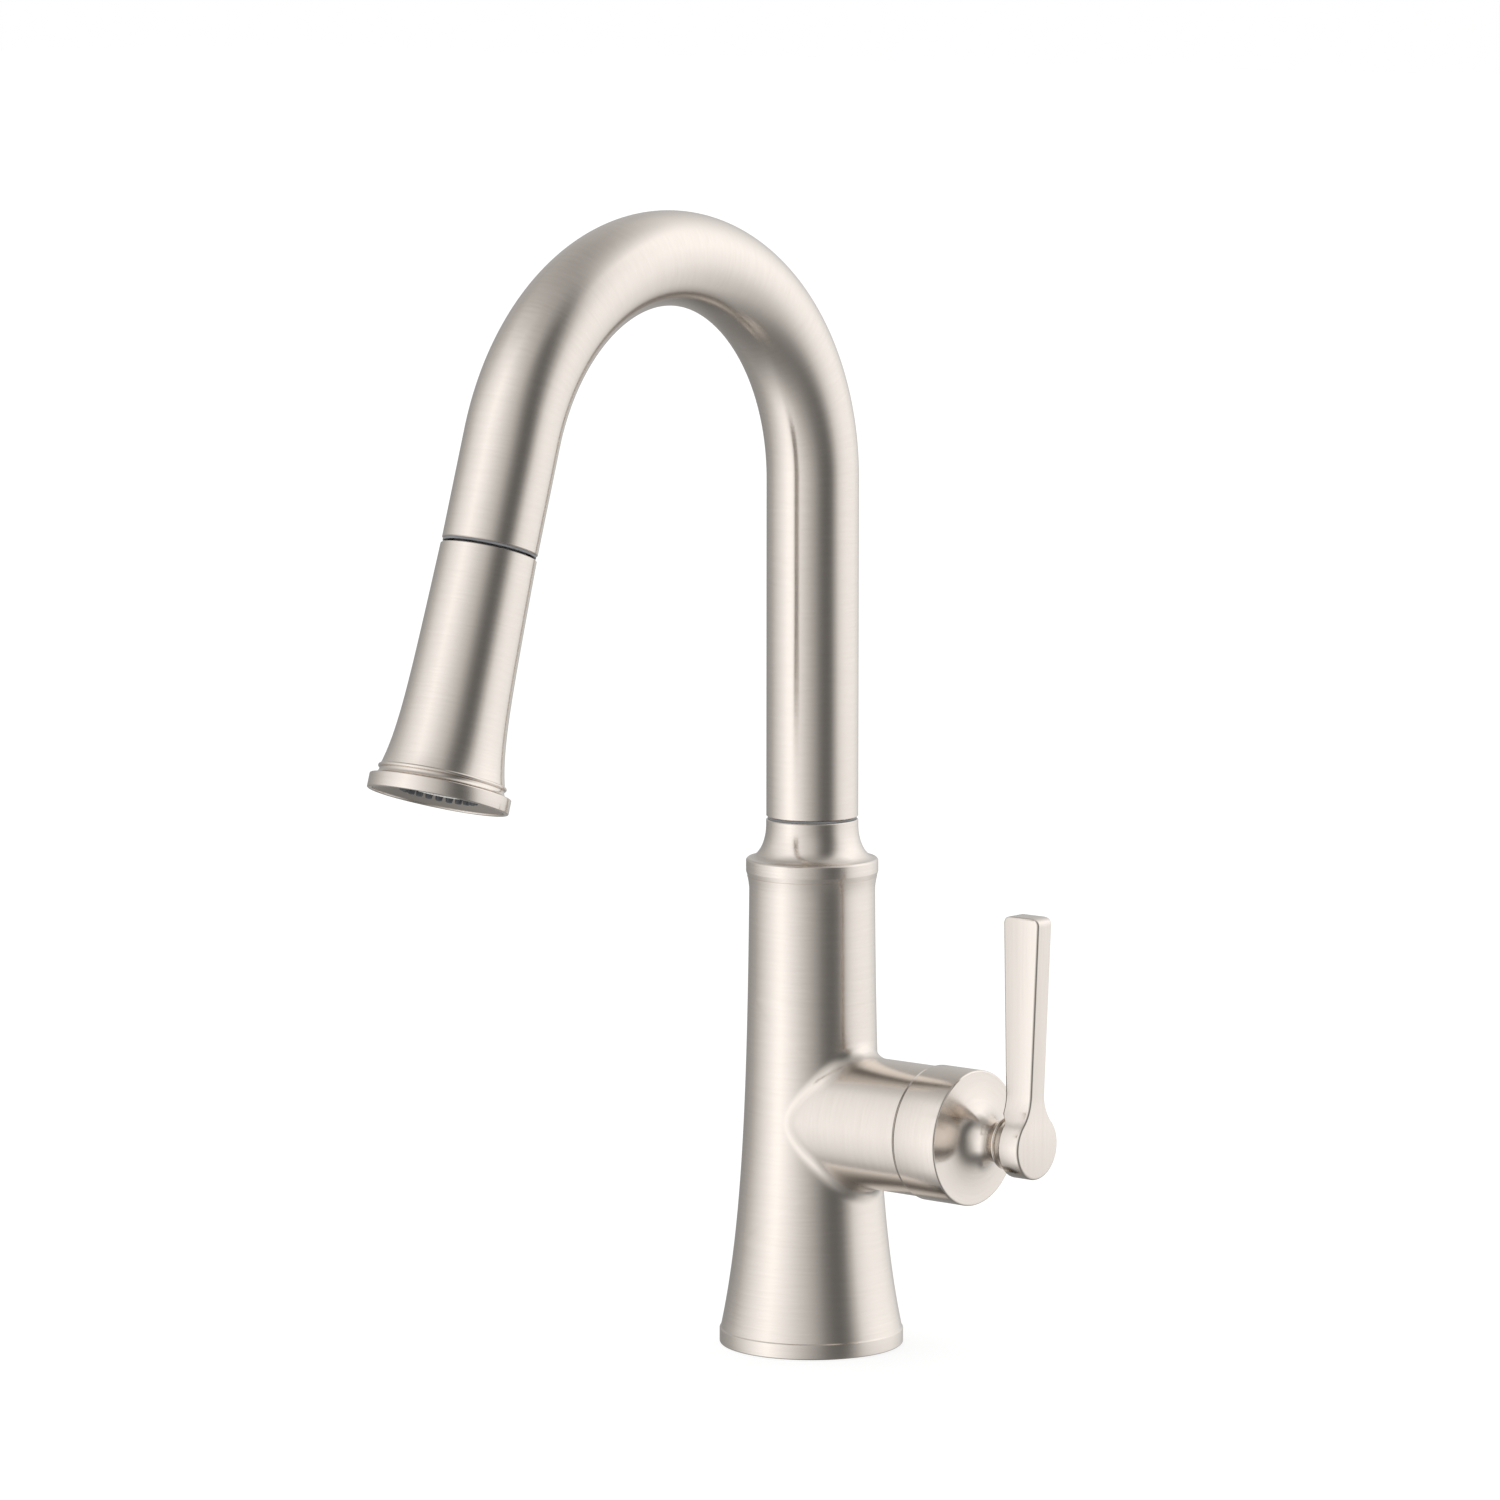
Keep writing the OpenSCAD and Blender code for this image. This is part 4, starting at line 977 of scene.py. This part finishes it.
def studio_world():
    """The studio as the metal mirrors it. The camera sees plain white behind the object."""
    world = bpy.data.worlds.new("studio")
    bpy.context.scene.world = world
    world.use_nodes = True
    nodes, links = world.node_tree.nodes, world.node_tree.links
    nodes.clear()
    place = nodes.new("ShaderNodeTexCoord")
    split = nodes.new("ShaderNodeSeparateXYZ")
    links.new(place.outputs["Generated"], split.inputs[0])
    angle = nodes.new("ShaderNodeMath")
    angle.operation = "ARCTAN2"
    links.new(split.outputs["Y"], angle.inputs[0])
    links.new(split.outputs["X"], angle.inputs[1])
    share = nodes.new("ShaderNodeMapRange")
    share.inputs["From Min"].default_value = -math.pi
    share.inputs["From Max"].default_value = math.pi
    links.new(angle.outputs[0], share.inputs["Value"])
    colour, start = None, None
    for height, stops in STUDIO:
        if stops:
            band = nodes.new("ShaderNodeValToRGB")
            fill_ramp(band.color_ramp, stops)
            links.new(share.outputs["Result"], band.inputs["Fac"])
            over = band.outputs["Color"]
            if colour is None:
                colour = over
            else:
                colour = fade(nodes, links, split.outputs["Z"], colour, over, start, height)
        start = height
    reflected = nodes.new("ShaderNodeBackground")
    reflected.inputs["Strength"].default_value = BRIGHTEST
    links.new(colour, reflected.inputs["Color"])
    seen = nodes.new("ShaderNodeBackground")
    seen.inputs["Color"].default_value = (1, 1, 1, 1)
    seen.inputs["Strength"].default_value = 1.0
    path = nodes.new("ShaderNodeLightPath")
    mix = nodes.new("ShaderNodeMixShader")
    links.new(path.outputs["Is Camera Ray"], mix.inputs["Fac"])
    links.new(reflected.outputs[0], mix.inputs[1])
    links.new(seen.outputs[0], mix.inputs[2])
    output = nodes.new("ShaderNodeOutputWorld")
    links.new(mix.outputs[0], output.inputs["Surface"])


def fill_ramp(ramp, stops):
    """Sets a ramp's stops from (compass angle, brightness)."""
    ramp.elements[0].position, ramp.elements[1].position = 0.0, 1.0
    for i, (angle, level) in enumerate(stops):
        if i in (0, len(stops) - 1):
            element = ramp.elements[0 if i == 0 else -1]
        else:
            element = ramp.elements.new((angle + 180) / 360)
        shade = level / BRIGHTEST
        warmth = 0.05 * max(0.0, 1 - level)
        element.color = (shade, shade * (1 - 0.3 * warmth), shade * (1 - warmth), 1)


def fade(nodes, links, height, under, over, start, end):
    """Fades from one colour to another as the direction's height goes from start to end."""
    amount = nodes.new("ShaderNodeMapRange")
    amount.inputs["From Min"].default_value = start
    amount.inputs["From Max"].default_value = end
    links.new(height, amount.inputs["Value"])
    mix = nodes.new("ShaderNodeMix")
    mix.data_type = "RGBA"
    links.new(amount.outputs["Result"], mix.inputs["Factor"])
    links.new(under, mix.inputs[MIX_A])
    links.new(over, mix.inputs[MIX_B])
    return mix.outputs[MIX_RESULT]


def floor():
    """A plain pale floor at deck height. The metal mirrors the studio's own ground instead of it."""
    mesh = bpy.data.meshes.new("floor")
    half = 12.0
    corners = [(-half, -half, 0), (half, -half, 0), (half, half, 0), (-half, half, 0)]
    mesh.from_pydata(corners, [], [(0, 1, 2, 3)])
    material, _, _, bsdf = new_material("floor")
    bsdf.inputs["Base Color"].default_value = (0.30, 0.30, 0.30, 1)
    bsdf.inputs["Roughness"].default_value = 0.9
    bsdf.inputs["Specular IOR Level"].default_value = 0.0
    bsdf.inputs["Emission Color"].default_value = (1, 1, 1, 1)
    bsdf.inputs["Emission Strength"].default_value = 0.74
    mesh.materials.append(material)
    piece = bpy.data.objects.new("floor", mesh)
    piece.visible_glossy = False
    bpy.context.scene.collection.objects.link(piece)


def top_light():
    """A broad soft light from straight above, for the floor and the matt parts."""
    light = bpy.data.lights.new("top_light", "SUN")
    light.energy = 1.4
    light.angle = math.radians(70)
    lamp = bpy.data.objects.new("top_light", light)
    lamp.location = (0, 0, 3)
    lamp.visible_glossy = False
    bpy.context.scene.collection.objects.link(lamp)


finish_cad_nodes()
foot_ring()
body_casting()
collar_ring()
gooseneck()
dock_ring()
hose_braid()
head_casting()
rocker_pad()
face_plate()
nozzle_ring()
cap_bell()
slim_collar()
lever_blade()
camera()
studio_world()
floor()
top_light()
bpy.context.scene.view_settings.view_transform = "Standard"
